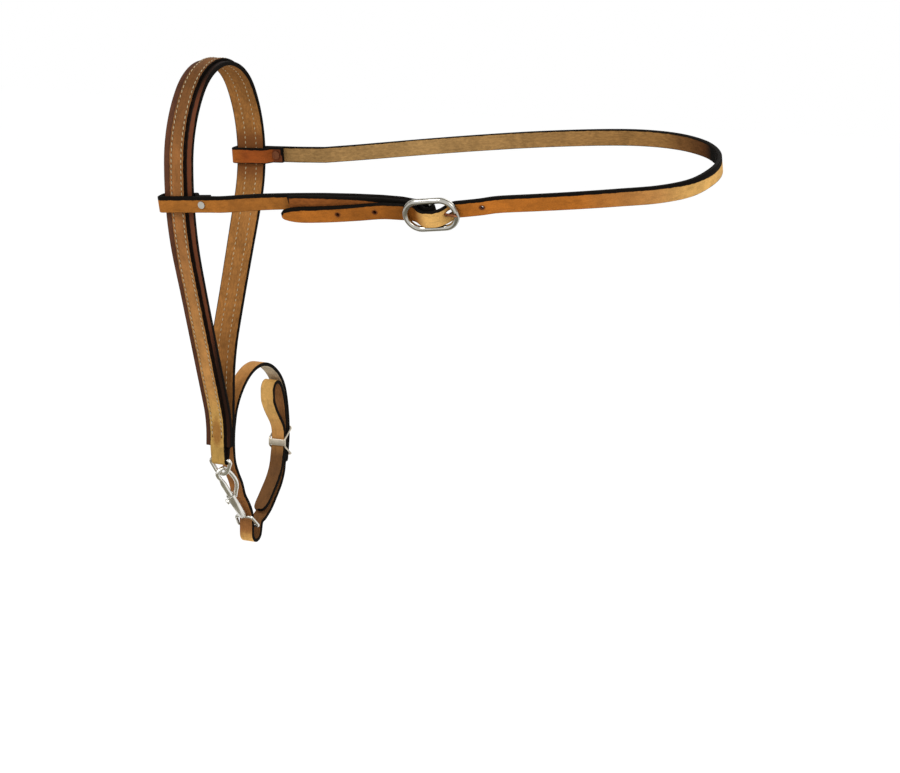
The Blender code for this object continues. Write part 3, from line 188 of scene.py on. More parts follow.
SWIVEL_STEM = 0.0014
SWIVEL_HEAD = 0.0029
SWIVEL_HEAD_THICK = 0.0016
EYE_WIRE = 0.0017
EYE_TOP = 0.0705
EYE_TOP_HALF = 0.0094
EYE_BOTTOM_PLAY = 0.0029
EYE_BOTTOM = 0.0860
EYE_COLLAR = 0.0031
EYE_CORNERS = (0.0040, 0.0040, 0.0026, 0.0026)
SWIVEL_PLAY = 0.0004
HOLE_SPARE = 0.0030         # a cutter stands out this far
OVERLAP = 0.0004            # joined rods run into each other this far
SNAP_EDGE = 0.00035
KNOB_EDGE = 0.0007
HOOK_ROUTE = [                 # reach, way down the snap: from the bolt's nose over the top to the barrel
    (0.0, BOLT_NOSE - 0.0006), (-0.0006, 0.0010), (0.0006, -0.7 * HOOK_TOP), (0.0050, -HOOK_TOP),
    (0.68 * HOOK_REACH, -0.0038), (0.89 * HOOK_REACH, 0.0029), (HOOK_REACH, 0.0125),
    (HOOK_REACH, 0.0210), (0.84 * HOOK_REACH, 0.0285), (0.55 * HOOK_REACH, 0.0340), (0.0040, 0.0390)]
BOLT_PROFILE = [               # length down the snap, radius
    (BOLT_NOSE, 0.55 * BOLT_NOSE_RADIUS), (BOLT_NOSE + 0.0004, 0.9 * BOLT_NOSE_RADIUS),
    (BOLT_NOSE + 0.0012, BOLT_NOSE_RADIUS), (BOLT_NOSE + BOLT_TAPER, BOLT_RADIUS),
    (BOLT_TAIL, BOLT_RADIUS)]

# Tie-down loop
LOOP_TURN_RADIUS = 0.0086
LOOP_TURN_DROP = 0.0080
LOOP_TURN = math.radians(165.0)
LOOP_OUTER_TIP = (0.004, 0.75)
LOOP_INNER_TIP = (0.014, 0.45)
LOOP_BUCKLE_UP = 0.0783
LOOP_BUCKLE_HALF = 0.0152
LOOP_BUCKLE_WIRE = 0.0010
LOOP_BAR_WIDTH = 0.0070
LOOP_BAR_THICK = 0.0022
LOOP_BAR_GAP = 0.0007
LOOP_PIN = 0.0015
LAYER_GAP = 0.0004
LOOP_OUTER_AT = 0.0724
OVER_TOP = [                   # y, z from the eye's bar: outer layer, over the top, down the near leg
    (0.0690, 0.0555), (0.0700, 0.0625), (0.0713, 0.0710), (0.0724, 0.0840), (0.0721, 0.0970),
    (0.0703, 0.1110), (0.0672, 0.1250), (0.0623, 0.1390), (0.0545, 0.1508), (0.0430, 0.1608),
    (0.0295, 0.1681), (0.0155, 0.1712), (0.0022, 0.1702), (-0.0092, 0.1664), (-0.0190, 0.1604),
    (-0.0278, 0.1525), (-0.0352, 0.1430), (-0.0408, 0.1322), (-0.0439, 0.1200), (-0.0448, 0.1070),
    (-0.0438, 0.0920), (-0.0408, 0.0772), (-0.0339, 0.0640), (-0.0258, 0.0516), (-0.0198, 0.0378),
    (-0.0116, 0.0269), (-0.0058, 0.0167), (-0.0041, 0.0070)]
LOOP_HOLE_ROWS = (17, 19, 21)
NEAR_LEG_SIDE = 0.0015
NEAR_LEG_TOP = 0.12
FAR_LEG = [                    # up the far leg, through the buckle, the curl, and down inside
    (0.0158, 0.0006), (0.0230, 0.0038), (0.0350, 0.0113), (0.0462, 0.0222), (0.0565, 0.0335),
    (0.0626, 0.0450), (0.0646, 0.0550), (0.0656, 0.0626), (0.0671, 0.0715), (0.0682, 0.0840),
    (0.0679, 0.0967), (0.0660, 0.1102), (0.0631, 0.1237), (0.0600, 0.1325), (0.0562, 0.1398),
    (0.0516, 0.1452), (0.0463, 0.1474), (0.0415, 0.1460), (0.0386, 0.1413), (0.0385, 0.1350),
    (0.0396, 0.1271), (0.0446, 0.1183), (0.0512, 0.1098), (0.0578, 0.1020), (0.0622, 0.0948),
    (0.0640, 0.0840), (0.0629, 0.0720), (0.0614, 0.0632), (0.0600, 0.0562), (0.0572, 0.0487),
    (0.0508, 0.0393), (0.0402, 0.0284), (0.0302, 0.0190), (0.0206, 0.0118)]

# Slide buckle
SLIDE_SIDE = 0.0013
SLIDE_SHOULDER = 0.0040     # the slide's limbs meet its bar this far from the middle
SLIDE_CORNERS = (0.0032, 0.0030, 0.0030, 0.0032) * 2
SLIDE_EDGE = 0.0006
SLIDE_BAR_IN = 1.6          # the bar runs into the limbs by this much of their radius, both ends together
PIN_TIP = 0.0008            # the pin stands out of the outer layer

# Cutting and sewing
SAME_PLACE = 1e-6
SEAM_GAP = 0.00005
STRAP_ROWS = 8              # faces across a flat strap
STRAP_CUTS = 0.0030         # widest gap between the cuts across a strap
LOOP_CUTS = 0.0025
FINEST_CUT = 0.0008
STRAP_ROUNDING = 0.0008
OVERLAY_ROUNDING = 0.0006
END_SPARE = 0.0030          # a closed strap is cut this much too long at each end, then trimmed
PUNCH_REACH = 0.02
END_DYE = 0.0004            # the ends are dyed this much less far than the sides
STITCH_SLANT = math.radians(6.0)
STITCH_FLATNESS = 0.8
INNER_STITCH = 0.8          # the inner side shows this much of a stitch's length
THREAD_PROUD = 0.12         # part of its width that the thread's middle stands above the leather

# Finish: shades that are not a setting
LEATHER_SHINE = 0.05
FIBRE_STRETCH = (0.35, 1.0, 0.05)
EDGE_UNEVEN = 0.0014
GROOVE_DEPTH = 2.4
# Painted shade: a dark ring round each punched hole. Round the tongue's hole it is drawn longer and is the
# tongue's painted shadow as well.
HOLE_SHADE = (0.085, 0.024, 0.009)
GROOVE_SHADE = (0.10, 0.035, 0.012)
PRICK_SHADE = (0.03, 0.012, 0.006)
WORN_DYE = (0.055, 0.024, 0.016)
UNDER_LOOP = (0.17, 0.060, 0.018)
# Painted shade: the overlay's flesh side, seen only in its fold round the dee, is painted near black.
OVERLAY_FOLD_SHADE = (0.020, 0.012, 0.010)
UNDER_POST = (0.115, 0.034, 0.014)
RUST = (0.20, 0.050, 0.008)
WHITE = (1.0, 1.0, 1.0)
LOW_STRIPE_DROP = 0.340        # middle of the dark stripe along the near leg's low part

# The photograph's camera and light
CAMERA_AT = Vector((1.1107, -1.9061, 0.1086))
CAMERA_AZIMUTH = math.radians(24.0)
CAMERA_ELEVATION = math.radians(11.0)
CAMERA_ROLL = math.radians(1.5)
CAMERA_LENS = 88.0
FLOOR_SIZE = 14.0
FLOOR_GLOW = 1.10              # keeps the floor white in the picture
FLOOR_GLOW_PART = 0.82
SKY = (0.60, 1.0)              # as light, and as seen
LIT_PLACE = (0.22, 0.0, -0.2)
LAMPS = (                      # name, place, size, power
    ("key", (-0.9, -1.9, 1.5), 0.9, 26.0),
    ("fill", (1.9, -1.2, 0.7), 1.2, 12.0),
    ("back", (0.4, 1.8, 1.3), 1.2, 12.0))
CARDS = (                      # name, place, what it faces, width, height
    ("back_card", (-0.5, 1.5, -0.2), (0.2, 0.0, -0.2), 3.4, 1.6),
    ("left_card", (-1.5, -0.6, -0.1), (0.2, 0.0, -0.2), 0.9, 2.6),
    ("right_card", (1.9, -0.5, -0.2), (0.2, 0.0, -0.2), 0.8, 2.6),
    ("top_card", (0.0, -0.25, 1.3), (0.0, -0.25, 0.0), 2.2, 1.0),
    ("low_card", (0.1, -0.20, FLOOR_HEIGHT + 0.0002), (0.1, -0.2, 0.0), 1.5, 0.55))


# Places along the object, as in the solids

def smoothstep(value):
    value = min(1.0, max(0.0, value))
    return value * value * (3.0 - 2.0 * value)


def leaning(lean):
    """Direction up a strap whose top edge leans towards -Y."""
    return Vector((0.0, -math.sin(lean), math.cos(lean)))


def arc(start, swing, steps):
    """Cosines and sines of equal steps round a circle."""
    angles = [start + swing * k / steps for k in range(steps + 1)]
    return [(math.cos(angle), math.sin(angle)) for angle in angles]


def smooth_route(points, spans):
    """Points read from a smooth curve through a route's own points, which may carry extra values."""
    rows = [Vector(p) for p in points]
    ends = [rows[0] * 2 - rows[1]] + rows + [rows[-1] * 2 - rows[-2]]
    route = []
    for i in range(1, len(ends) - 2):
        before, here, after, beyond = ends[i - 1:i + 3]
        for k in range(spans):
            t = k / spans
            route.append(0.5 * (here * 2 + (after - before) * t
                                + (before * 2 - here * 5 + after * 4 - beyond) * t * t
                                + (here * 3 - before - after * 3 + beyond) * t * t * t))
    route.append(rows[-1])
    return route


def leg_shape(side):
    """Radii of a leg's three bends, its taper, and the straight run between the last two."""
    side_radius, bend, unbend, straight_end = LEGS[side]
    half_gap = (BASE_THICK + CLEARANCE) / 2
    arch, level = math.sin(ARCH_TOP_ANGLE), math.cos(ARCH_TOP_ANGLE)
    travel = ARCH_TOP_RADIUS * arch + side_radius * (1 - arch) - side * TAIL_SHIFT - half_gap
    depth = BASE_DROP - straight_end + BASE_THICK / 2 - ARCH_TOP_RADIUS * (1 - level) - side_radius * level
    low, high = LEG_TAPER
    for _ in range(40):
        taper = (low + high) / 2
        straight = (travel - (bend + unbend) * (1 - math.cos(taper))) / math.sin(taper)
        if (bend + unbend) * math.sin(taper) + straight * math.cos(taper) > depth:
            low = taper
        else:
            high = taper
    return side_radius, bend, unbend, taper, straight


def leg_rows(side, offset, angle_step=math.radians(1.5), line_step=0.004):
    """Points and headings down one leg, at an offset outwards from the base strap's middle."""
    side_radius, bend, unbend, taper, straight = leg_shape(side)
    right = math.pi / 2
    moves = [(ARCH_TOP_RADIUS, 0.0, ARCH_TOP_ANGLE), (side_radius, ARCH_TOP_ANGLE, right),
             (bend, right, right + taper), (straight, None, right + taper),
             (-unbend, right + taper, right)]
    spot = Vector((0.0, BASE_THICK / 2))
    rows = [(spot.copy(), 0.0)]
    for size, start, end in moves:
        if start is None:
            steps = max(1, round(size / line_step))
            ahead = Vector((side * math.cos(end), -math.sin(end)))
            for k in range(1, steps + 1):
                rows.append((spot + ahead * size * k / steps, end))
        else:
            steps = max(1, round(abs(end - start) / angle_step))
            for k in range(1, steps + 1):
                angle = start + (end - start) * k / steps
                rows.append((spot + Vector((side * (math.sin(angle) - math.sin(start)),
                                            math.cos(angle) - math.cos(start))) * size, angle))
        spot = rows[-1][0].copy()
    rows.append((Vector((spot.x, -BASE_DROP)), right))
    return [(p + Vector((side * math.sin(a), math.cos(a))) * offset, a) for p, a in rows]


def leg_place(side, drop, offset):
    """Where a leg passes a height below the origin."""
    rows = leg_rows(side, offset, math.radians(1.0), 0.002)
    for (above, angle), (below, _) in zip(rows, rows[1:]):
        if above.y >= -drop > below.y and angle > math.radians(60.0):
            spot = above.lerp(below, (above.y + drop) / (above.y - below.y))
            return Vector((0.0, spot.x, spot.y))
    raise ValueError("the leg does not reach that height")


def base_half_width(drop):
    start, end = BASE_NARROWS
    return (BASE_WIDTH + (BASE_LOW_WIDTH - BASE_WIDTH) * smoothstep((drop - start) / (end - start))) / 2


def dee_bar_middle():
    return Vector((0.0, TAIL_SHIFT, -BASE_DROP - DEE_BAR_DROP))


def loop_frame(loop):
    """A crown loop's middle and its axes: along the strap, up it, and out of the noseband."""
    middle = leg_place(loop["side"], loop["drop"], OVERLAY_THICK / 2 + CLEARANCE / 2)
    along = Vector((math.cos(loop["slope"]), 0.0, math.sin(loop["slope"])))
    up = leaning(loop["lean"])
    up = (up - along * up.dot(along)).normalized()
    out = along.cross(up) if loop["side"] < 0 else up.cross(along)
    return middle, along, up, out


def loop_half(loop):
    """Half the distance between the middles of a loop's two layers."""
    return (BASE_THICK + CLEARANCE + OVERLAY_THICK + STRAP_THICK) / 2 + loop["play"]


def loop_route(loop):
    """From the outer layer, round the leg's edge, to the inner layer's end past the screw."""
    half = loop_half(loop)
    edge = base_half_width(0.0) + LOOP_END_PLAY
    turn_at = -(edge + STRAP_THICK / 2) + LOOP_CORNER
    layer = STRAP_THICK + CLEARANCE
    points = [(LOOP_LEVEL, half), (turn_at + LOOP_EASE, half)]
    for corner, start in ((1, math.pi / 2), (-1, math.pi)):
        for ahead, aside in arc(start, math.pi / 2, 12):
            points.append((turn_at + LOOP_CORNER * ahead,
                           corner * (half - LOOP_CORNER) + LOOP_CORNER * aside))
    points += [(turn_at + LOOP_EASE, -half), (LOOP_LEVEL, -half), (edge, -half)]
    for k in range(1, 15):
        part = k / 14
        points.append((edge + LOOP_CLOSE * part, -half + (2 * half - layer) * smoothstep(part)))
    screw = base_half_width(0.0) + SCREW_REACH[loop["side"]]
    points += [(screw, half - layer), (screw + LOOP_TAIL, half - layer)]
    middle, along, up, out = loop_frame(loop)
    return [(*(middle + along * u + out * n), *up) for u, n in points]


def buckle_axes():
    along = Vector((math.cos(BUCKLE_SLOPE), 0.0, math.sin(BUCKLE_SLOPE)))
    up = leaning(BUCKLE_LEAN)
    up = (up - along * up.dot(along)).normalized()
    return along, up, along.cross(up)


def buckle_point(u, v, n):
    along, up, out = buckle_axes()
    return BUCKLE_AT + along * u + up * v + out * n


def on_buckle(u, v, n):
    return (*buckle_point(u, v, n), *buckle_axes()[1])


def behind_frame():
    return -(BUCKLE_WIRE + 2 * CLEARANCE + STRAP_THICK / 2)


def over_bar():
    return -BUCKLE_BAR_BACK + BUCKLE_BAR + FOLD_THICK + 3 * CLEARANCE + STRAP_THICK / 2


def billet_out(u):
    start, end = BILLET_FALL
    return over_bar() + (behind_frame() - over_bar()) * smoothstep((abs(u) - start) / (end - start))


def billet_stretch(u):
    step = 0.0001
    return math.hypot(1.0, (billet_out(u + step) - billet_out(u - step)) / (2 * step))


def rise_at(table, u):
    for (u0, v0), (u1, v1) in zip(table, table[1:]):
        if u0 <= u <= u1:
            return v0 + (v1 - v0) * (u - u0) / (u1 - u0)
    return table[-1][1] if u > table[-1][0] else table[0][1]


def cheek_layers(u, turnback):
    """Thickness and middle of the cheek strap's front or back layer left of the buckle's bar."""
    part = smoothstep((abs(u) - FOLD_EASE[0]) / FOLD_EASE[1])
    front_thick = FOLD_THICK + (TURNBACK_THICK - FOLD_THICK) * part
    back_thick = FOLD_THICK + (STRAP_THICK - FOLD_THICK) * part
    head_room = POST_HEAD_THICK * smoothstep((abs(u) - HEAD_ROOM[0]) / HEAD_ROOM[1])
    fold = BUCKLE_BAR + CLEARANCE + FOLD_THICK / 2
    gap = CLEARANCE * 2
    front = min(billet_out(u) - (STRAP_THICK / 2 + gap + front_thick / 2) * billet_stretch(u) - head_room,
                -BUCKLE_BAR_BACK + fold)
    if turnback:
        return front_thick, front
    back = min(front - (front_thick / 2 + gap + back_thick / 2) * billet_stretch(u), -BUCKLE_BAR_BACK - fold)
    return back_thick, back


def snap_axes():
    """Reach of the hook, square to the hook's plane, and down the snap."""
    down = Vector((math.sin(SNAP_SIDE), math.cos(SNAP_SIDE) * math.sin(SNAP_LEAN),
                   -math.cos(SNAP_SIDE) * math.cos(SNAP_LEAN)))
    side = eye_side(down)
    reach = side * math.cos(SNAP_TURN) + side.cross(down) * math.sin(SNAP_TURN)
    return reach, down.cross(reach), down


def eye_side(down):
    """The swivel eye's long direction: X, square to the snap."""
    side = Vector((1.0, 0.0, 0.0))
    return (side - down * side.dot(down)).normalized()


def dee_down():
    return Vector((0.0, math.sin(DEE_LEAN), -math.cos(DEE_LEAN)))


def dee_bottom():
    half = math.atan(DEE_HALF_BAR / DEE_APEX)
    return dee_bar_middle() + dee_down() * (DEE_APEX - DEE_BOTTOM_RADIUS * (1 / math.sin(half) - 1))


def snap_point(r, q, s):
    reach, square, down = snap_axes()
    nose = dee_bottom() - reach * DEE_IN_HOOK[0] - down * DEE_IN_HOOK[1]
    return nose + reach * r + square * q + down * s


def eye_bar():
    return snap_point(0, 0, EYE_BOTTOM)


def loop_place(y, z):
    return eye_bar() + Vector((0.0, y, z))


def layer_out(count):
    return LOOP_OUTER_AT - count * (LOOP_THICK + LAYER_GAP)


def loop_bar_out():
    return layer_out(2) - LOOP_THICK / 2 - LOOP_BAR_GAP - LOOP_BAR_THICK / 2


# Bench work

def select_none():
    for item in bpy.context.selected_objects:
        item.select_set(False)


def only(item):
    select_none()
    item.select_set(True)
    bpy.context.view_layer.objects.active = item


def named(name):
    item = bpy.context.object
    item.name = name
    item.data.name = name
    return item


def apply_place(item):
    """Puts an object's place, turn and size into its mesh."""
    only(item)
    bpy.ops.object.transform_apply(location=True, rotation=True, scale=True)


def apply_modifiers(item):
    only(item)
    for change in list(item.modifiers):
        bpy.ops.object.modifier_apply(modifier=change.name)


def smooth(item, degrees=40.0):
    only(item)
    bpy.ops.object.shade_smooth_by_angle(angle=math.radians(degrees))


def joined(name, pieces):
    only(pieces[0])
    for piece in pieces[1:]:
        piece.select_set(True)
    bpy.ops.object.join()
    return named(name)


def dress(item, look):
    item.data.materials.clear()
    item.data.materials.append(look)


def finish_piece(item, look, body, nodes=()):
    """Gives a piece its material, its body, and the solids that it stands for."""
    dress(item, look)
    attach(item, body)
    if nodes:
        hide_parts(*nodes)
    return item


def combine(item, other, operation):
    change = item.modifiers.new("combine", "BOOLEAN")
    change.operation = operation
    change.solver = "EXACT"
    change.object = other
    apply_modifiers(item)
    bpy.data.objects.remove(other, do_unlink=True)


def subtract(item, cutter):
    """Cuts one piece by another and removes the cutter."""
    combine(item, cutter, "DIFFERENCE")


def unite(item, extra):
    """Joins another piece onto a piece."""
    combine(item, extra, "UNION")


def bevel(item, width, segments, degrees=30.0):
    """Rounds the edges where a piece's faces turn by more than an angle."""
    rounding = item.modifiers.new("edges", "BEVEL")
    rounding.width = width
    rounding.segments = segments
    rounding.limit_method = "ANGLE"
    rounding.angle_limit = math.radians(degrees)
    apply_modifiers(item)


def block(name, place, size):
    select_none()
    bpy.ops.mesh.primitive_cube_add(size=1.0, location=place, scale=size)
    item = named(name)
    apply_place(item)
    return item


def rod(name, radius, start, end, sides=32):
    """A rod between two points."""
    start, end = Vector(start), Vector(end)
    turn = (end - start).to_track_quat("Z", "Y").to_euler()
    select_none()
    bpy.ops.mesh.primitive_cylinder_add(vertices=sides, radius=radius, depth=(end - start).length,
                                        location=(start + end) / 2, rotation=turn)
    item = named(name)
    apply_place(item)
    return item


def wire(name, points, radii, closed=False, sides=5):
    """A round wire bent along points, whose radius may change along it."""
    curve = bpy.data.curves.new(name, "CURVE")
    curve.dimensions = "3D"
    curve.bevel_depth = 1.0
    curve.bevel_resolution = sides
    curve.use_fill_caps = not closed
    line = curve.splines.new("POLY")
    line.points.add(len(points) - 1)
    if not isinstance(radii, (list, tuple)):
        radii = [radii] * len(points)
    for spot, point, radius in zip(line.points, points, radii):
        spot.co = (*point, 1.0)
        spot.radius = radius
    line.use_cyclic_u = closed
    item = bpy.data.objects.new(name, curve)
    bpy.context.scene.collection.objects.link(item)
    only(item)
    bpy.ops.object.convert(target="MESH")
    item = named(name)
    bpy.ops.object.mode_set(mode="EDIT")
    bpy.ops.mesh.select_all(action="SELECT")
    bpy.ops.mesh.remove_doubles(threshold=0.00001)
    bpy.ops.mesh.normals_make_consistent(inside=False)
    bpy.ops.object.mode_set(mode="OBJECT")
    return item


def rounded_corners(corners, radii, step=math.radians(7.5)):
    """A closed outline with each corner rounded to its own radius."""
    outline = []
    count = len(corners)
    for i, corner in enumerate(corners):
        to_last = (corners[i - 1] - corner).normalized()
        to_next = (corners[(i + 1) % count] - corner).normalized()
        half = to_last.angle(to_next) / 2
        middle = corner + (to_last + to_next).normalized() * radii[i] / math.sin(half)
        swing = math.pi - 2 * half
        steps = max(1, round(swing / step))
        start = (corner + to_last * radii[i] / math.tan(half)) - middle
        end = (corner + to_next * radii[i] / math.tan(half)) - middle
        for k in range(steps + 1):
            part = swing * k / steps
            outline.append(middle + (start * math.sin(swing - part) + end * math.sin(part))
                           / math.sin(swing))
    return outline


def down_rod(name, radius, start, end, sides):
    """A rod along the snap's middle."""
    return rod(name, radius, snap_point(0, 0, start), snap_point(0, 0, end), sides)


def facing(place, target):
    """Stands at a place and looks at a target."""
    turn = (Vector(target) - Vector(place)).to_track_quat("-Z", "Y").to_matrix().to_4x4()
    return Matrix.Translation(place) @ turn
# Straps: a route, a flat strap, and laying one on the other

def unit_rows(rows):
    return rows / np.linalg.norm(rows, axis=1)[:, None]


def vertex_rows(mesh):
    rows = np.empty(len(mesh.vertices) * 3)
    mesh.vertices.foreach_get("co", rows)
    return rows.reshape(-1, 3)


class StrapRoute:
    """The path of a strap's middle, with its directions, width and thickness at each place.

    A row is a place and, after it, the direction up the strap there. Rows without one have it along -X.
    """

    def __init__(self, rows, half_wide, half_thick):
        rows = np.array([tuple(row) for row in rows])
        steps = np.linalg.norm(np.diff(rows[:, :3], axis=0), axis=1)
        keep = np.concatenate([[True], steps > SAME_PLACE])
        up = rows[keep, 3:] if rows.shape[1] > 3 else np.array([[-1.0, 0.0, 0.0]])
        self.place = rows[keep, :3]
        self.half_wide = np.broadcast_to(half_wide, len(rows))[keep]
        self.half_thick = np.broadcast_to(half_thick, len(rows))[keep]
        self.along = np.concatenate([[0.0], np.cumsum(np.linalg.norm(np.diff(self.place, axis=0), axis=1))])
        self.length = self.along[-1]
        ahead = unit_rows(np.gradient(self.place, self.along, axis=0))
        self.across = unit_rows(up - ahead * (up * ahead).sum(1)[:, None])
        self.out = np.cross(ahead, self.across)

    def flat_of(self, point):
        """Where on the flat strap a point near the route lies: length and width."""
        gap = np.linalg.norm(self.place - np.array(point), axis=1)
        i = int(gap.argmin())
        offset = np.array(point) - self.place[i]
        ahead = np.cross(self.across[i], self.out[i])
        return self.along[i] + offset @ ahead, offset @ self.across[i]

    def length_at(self, *point):
        """How far along the strap a point near the route lies."""
        return self.flat_of(point)[0]

    def columns(self, widest):
        """Places of the cuts across the flat strap, close together where the route bends."""
        cuts = [0.0]
        for here in self.along[1:]:
            gap = here - cuts[-1]
            if gap < FINEST_CUT:
                continue
            parts = max(1, math.ceil(gap / widest))
            start = cuts[-1]
            cuts += [start + gap * k / parts for k in range(1, parts + 1)]
        cuts[-1] = self.length
        return cuts


def cut_strap(name, route, closed, rounding, widest):
    """A flat strap with rounded edges. A closed one has open ends, to be joined when it is laid."""
    columns = route.columns(widest)
    if closed:
        columns = [columns[0] - END_SPARE] + columns + [columns[-1] + END_SPARE]
    select_none()
    bpy.ops.mesh.primitive_grid_add(x_subdivisions=len(columns) - 1, y_subdivisions=STRAP_ROWS, size=1.0)
    strap = named(name)
    count = len(strap.data.vertices) // (STRAP_ROWS + 1) - 1
    for vertex in strap.data.vertices:
        column = round((vertex.co.x + 0.5) * count)
        vertex.co = (columns[column], vertex.co.y * 2 * route.half_wide.max(), 0.0)
    wall = strap.modifiers.new("thickness", "SOLIDIFY")
    wall.thickness = 2 * route.half_thick.max()
    wall.offset = 0.0
    bevel(strap, rounding, 3, 60.0)
    if closed:
        bpy.ops.object.mode_set(mode="EDIT")
        for at, inner in ((columns[1], False), (columns[-2], True)):
            bpy.ops.mesh.select_all(action="SELECT")
            bpy.ops.mesh.bisect(plane_co=(at, 0, 0), plane_no=(1, 0, 0), clear_inner=not inner,
                                clear_outer=inner, use_fill=False)
        bpy.ops.object.mode_set(mode="OBJECT")
    return strap


def punch(strap, at, across, radius, stretch=1.0):
    """A round or long hole through a flat strap."""
    hole = rod("punch", radius, (0.0, 0.0, -PUNCH_REACH), (0.0, 0.0, PUNCH_REACH), 24)
    hole.scale = (stretch, 1.0, 1.0)
    hole.location = (at, across, 0.0)
    apply_place(hole)
    subtract(strap, hole)


def note_leather(strap, route, closed):
    """Writes where each face corner lies on the flat strap, for the leather's material."""
    mesh = strap.data
    flat = vertex_rows(mesh)
    wide = np.interp(flat[:, 0], route.along, route.half_wide)
    part = flat[:, 1] / route.half_wide.max()
    place = np.stack([flat[:, 0], part * wide, flat[:, 2] / route.half_thick.max()], axis=1)
    edge = (1.0 - np.abs(part)) * wide
    if not closed:
        edge = np.minimum(edge, np.minimum(flat[:, 0], route.length - flat[:, 0]) + END_DYE)
    corners = np.empty(len(mesh.loops), dtype=np.int32)
    mesh.loops.foreach_get("vertex_index", corners)
    mesh.attributes.new("flat", "FLOAT_VECTOR", "CORNER").data.foreach_set("vector", place[corners].ravel())
    mesh.attributes.new("from_edge", "FLOAT", "CORNER").data.foreach_set("value", edge[corners])


def lay(piece, route, closed=False):
    """Bends a flat piece along a route."""
    mesh = piece.data
    flat = vertex_rows(mesh)
    s = np.clip(flat[:, 0], 0.0, route.length)
    wide = np.interp(s, route.along, route.half_wide) / route.half_wide.max()
    thick = np.interp(s, route.along, route.half_thick) / route.half_thick.max()
    place, across, out = [np.stack([np.interp(s, route.along, column) for column in rows.T], axis=1)
                          for rows in (route.place, route.across, route.out)]
    bent = (place + unit_rows(across) * (flat[:, 1] * wide)[:, None]
            + unit_rows(out) * (flat[:, 2] * thick)[:, None])
    mesh.vertices.foreach_set("co", bent.ravel())
    mesh.update()
    if closed:
        only(piece)
        bpy.ops.object.mode_set(mode="EDIT")
        bpy.ops.mesh.select_all(action="SELECT")
        bpy.ops.mesh.remove_doubles(threshold=SEAM_GAP)
        bpy.ops.object.mode_set(mode="OBJECT")
    return piece


def make_strap(name, route, holes=(), closed=False, rounding=STRAP_ROUNDING, widest=STRAP_CUTS):
    """A strap cut flat, punched with holes, each a length, width, radius and stretch, and laid."""
    strap = cut_strap(name, route, closed, rounding, widest)
    for hole in holes:
        punch(strap, *hole)
    note_leather(strap, route, closed)
    lay(strap, route, closed)
    smooth(strap)
    return strap


def sewn_rows(name, route, rows, ends, height, pitch, length, width):
    """Rows of stitches along a strap, in one piece: one stitch a row, copied at the pitch."""
    start, end = ends
    laid = []
    for across in rows:
        select_none()
        bpy.ops.mesh.primitive_uv_sphere_add(segments=8, ring_count=6, radius=0.5,
                                             location=(start + pitch / 2, across, height),
                                             rotation=(0.0, 0.0, STITCH_SLANT))
        row = named(name)
        row.scale = (length, width, width * STITCH_FLATNESS)
        apply_place(row)
        repeat = row.modifiers.new("row", "ARRAY")
        repeat.use_relative_offset = False
        repeat.use_constant_offset = True
        repeat.constant_offset_displace = (pitch, 0.0, 0.0)
        repeat.count = max(1, int((end - start) / pitch))
        apply_modifiers(row)
        laid.append(lay(row, route))
    stitches = joined(name, laid)
    smooth(stitches, 80.0)
    return stitches


def tip(distance, length, blunt):
    """Half width of a strap's rounded tip at a distance from its end."""
    part = 1.0 - min(1.0, distance / length)
    return STRAP_WIDTH / 2 * (blunt + (1.0 - blunt) * math.sqrt(1.0 - part * part))


def lengths_to(points):
    """How far along a line each of its points lies."""
    gone = [0.0]
    for last, here in zip(points, points[1:]):
        gone.append(gone[-1] + (Vector(here[:3]) - Vector(last[:3])).length)
    return gone


def both_legs(offset):
    """Points up the near leg and down the far one."""
    near, far = leg_rows(-1, offset), leg_rows(1, offset)
    return [(0.0, p.x, p.y) for p, _ in near[::-1] + far[1:]]


def leg_length(route, side, drop, offset=0.0):
    """How far along a strap its leg passes a height below the origin."""
    return route.length_at(*leg_place(side, drop, offset))


def loop_screw_holes(route, loop):
    """Where a crown loop's screw goes through its outer and inner layer: length, width and radius."""
    middle, along, _, out = loop_frame(loop)
    half = loop_half(loop)
    reach = along * (base_half_width(0.0) + SCREW_REACH[loop["side"]])
    return [(*route.flat_of(middle + reach + out * layer), HOLE_RADIUS)
            for layer in (half, half - STRAP_THICK - CLEARANCE)]


def base_route():
    places = both_legs(0.0)
    return StrapRoute(places, [base_half_width(-p[2]) for p in places], BASE_THICK / 2)


def overlay_route():
    places = both_legs(OVERLAY_OFFSET)
    bar = dee_bar_middle()
    radius = DEE_WIRE + CLEARANCE + OVERLAY_THICK / 2
    places += [tuple(bar + Vector((0.0, aside, -down)) * radius) for aside, down in arc(0.0, math.pi, 24)]
    places.append(places[0])
    route = StrapRoute(places, STRAP_WIDTH / 2, OVERLAY_THICK / 2)
    for rows in (route.across, route.out):
        joint = rows[0] + rows[-1]
        rows[0] = rows[-1] = joint / np.linalg.norm(joint)
    return route


def crown_route():
    points = [on_buckle(u, v, behind_frame()) for u, v in TAIL_ROUTE]
    reach = BILLET_FALL[1] + BILLET_FLAT
    middle = []
    for k in range(79):
        u = -reach + 2 * reach * k / 78
        low = TONGUE_ROW - WINDOW_SAG
        v = low + (ONWARD_ROW - low) * smoothstep((abs(u) - WINDOW_EDGE[0]) / WINDOW_EDGE[1])
        middle.append(on_buckle(u, v, billet_out(u)))
    onward = [on_buckle(u, v, behind_frame()) for u, v in ONWARD_START]
    onward += [(x, y, z, *leaning(math.radians(tilt))) for x, y, z, tilt in CROWN_ROUTE]
    route = smooth_route(points + middle[:1], 10)[:-1] + middle[:-1]
    route += smooth_route(middle[-1:] + onward, 12)
    place, along, up, out = loop_frame(FAR_LOOP)
    half = loop_half(FAR_LOOP)
    joining = [(*(place + along * u + out * half), *up) for u in FAR_JOINING]
    route = route[:-1] + smooth_route([route[-1]] + joining, 8)
    route += loop_route(FAR_LOOP)
    return StrapRoute(route, [tip(gone, *BILLET_TIP) for gone in lengths_to(route)], STRAP_THICK / 2)


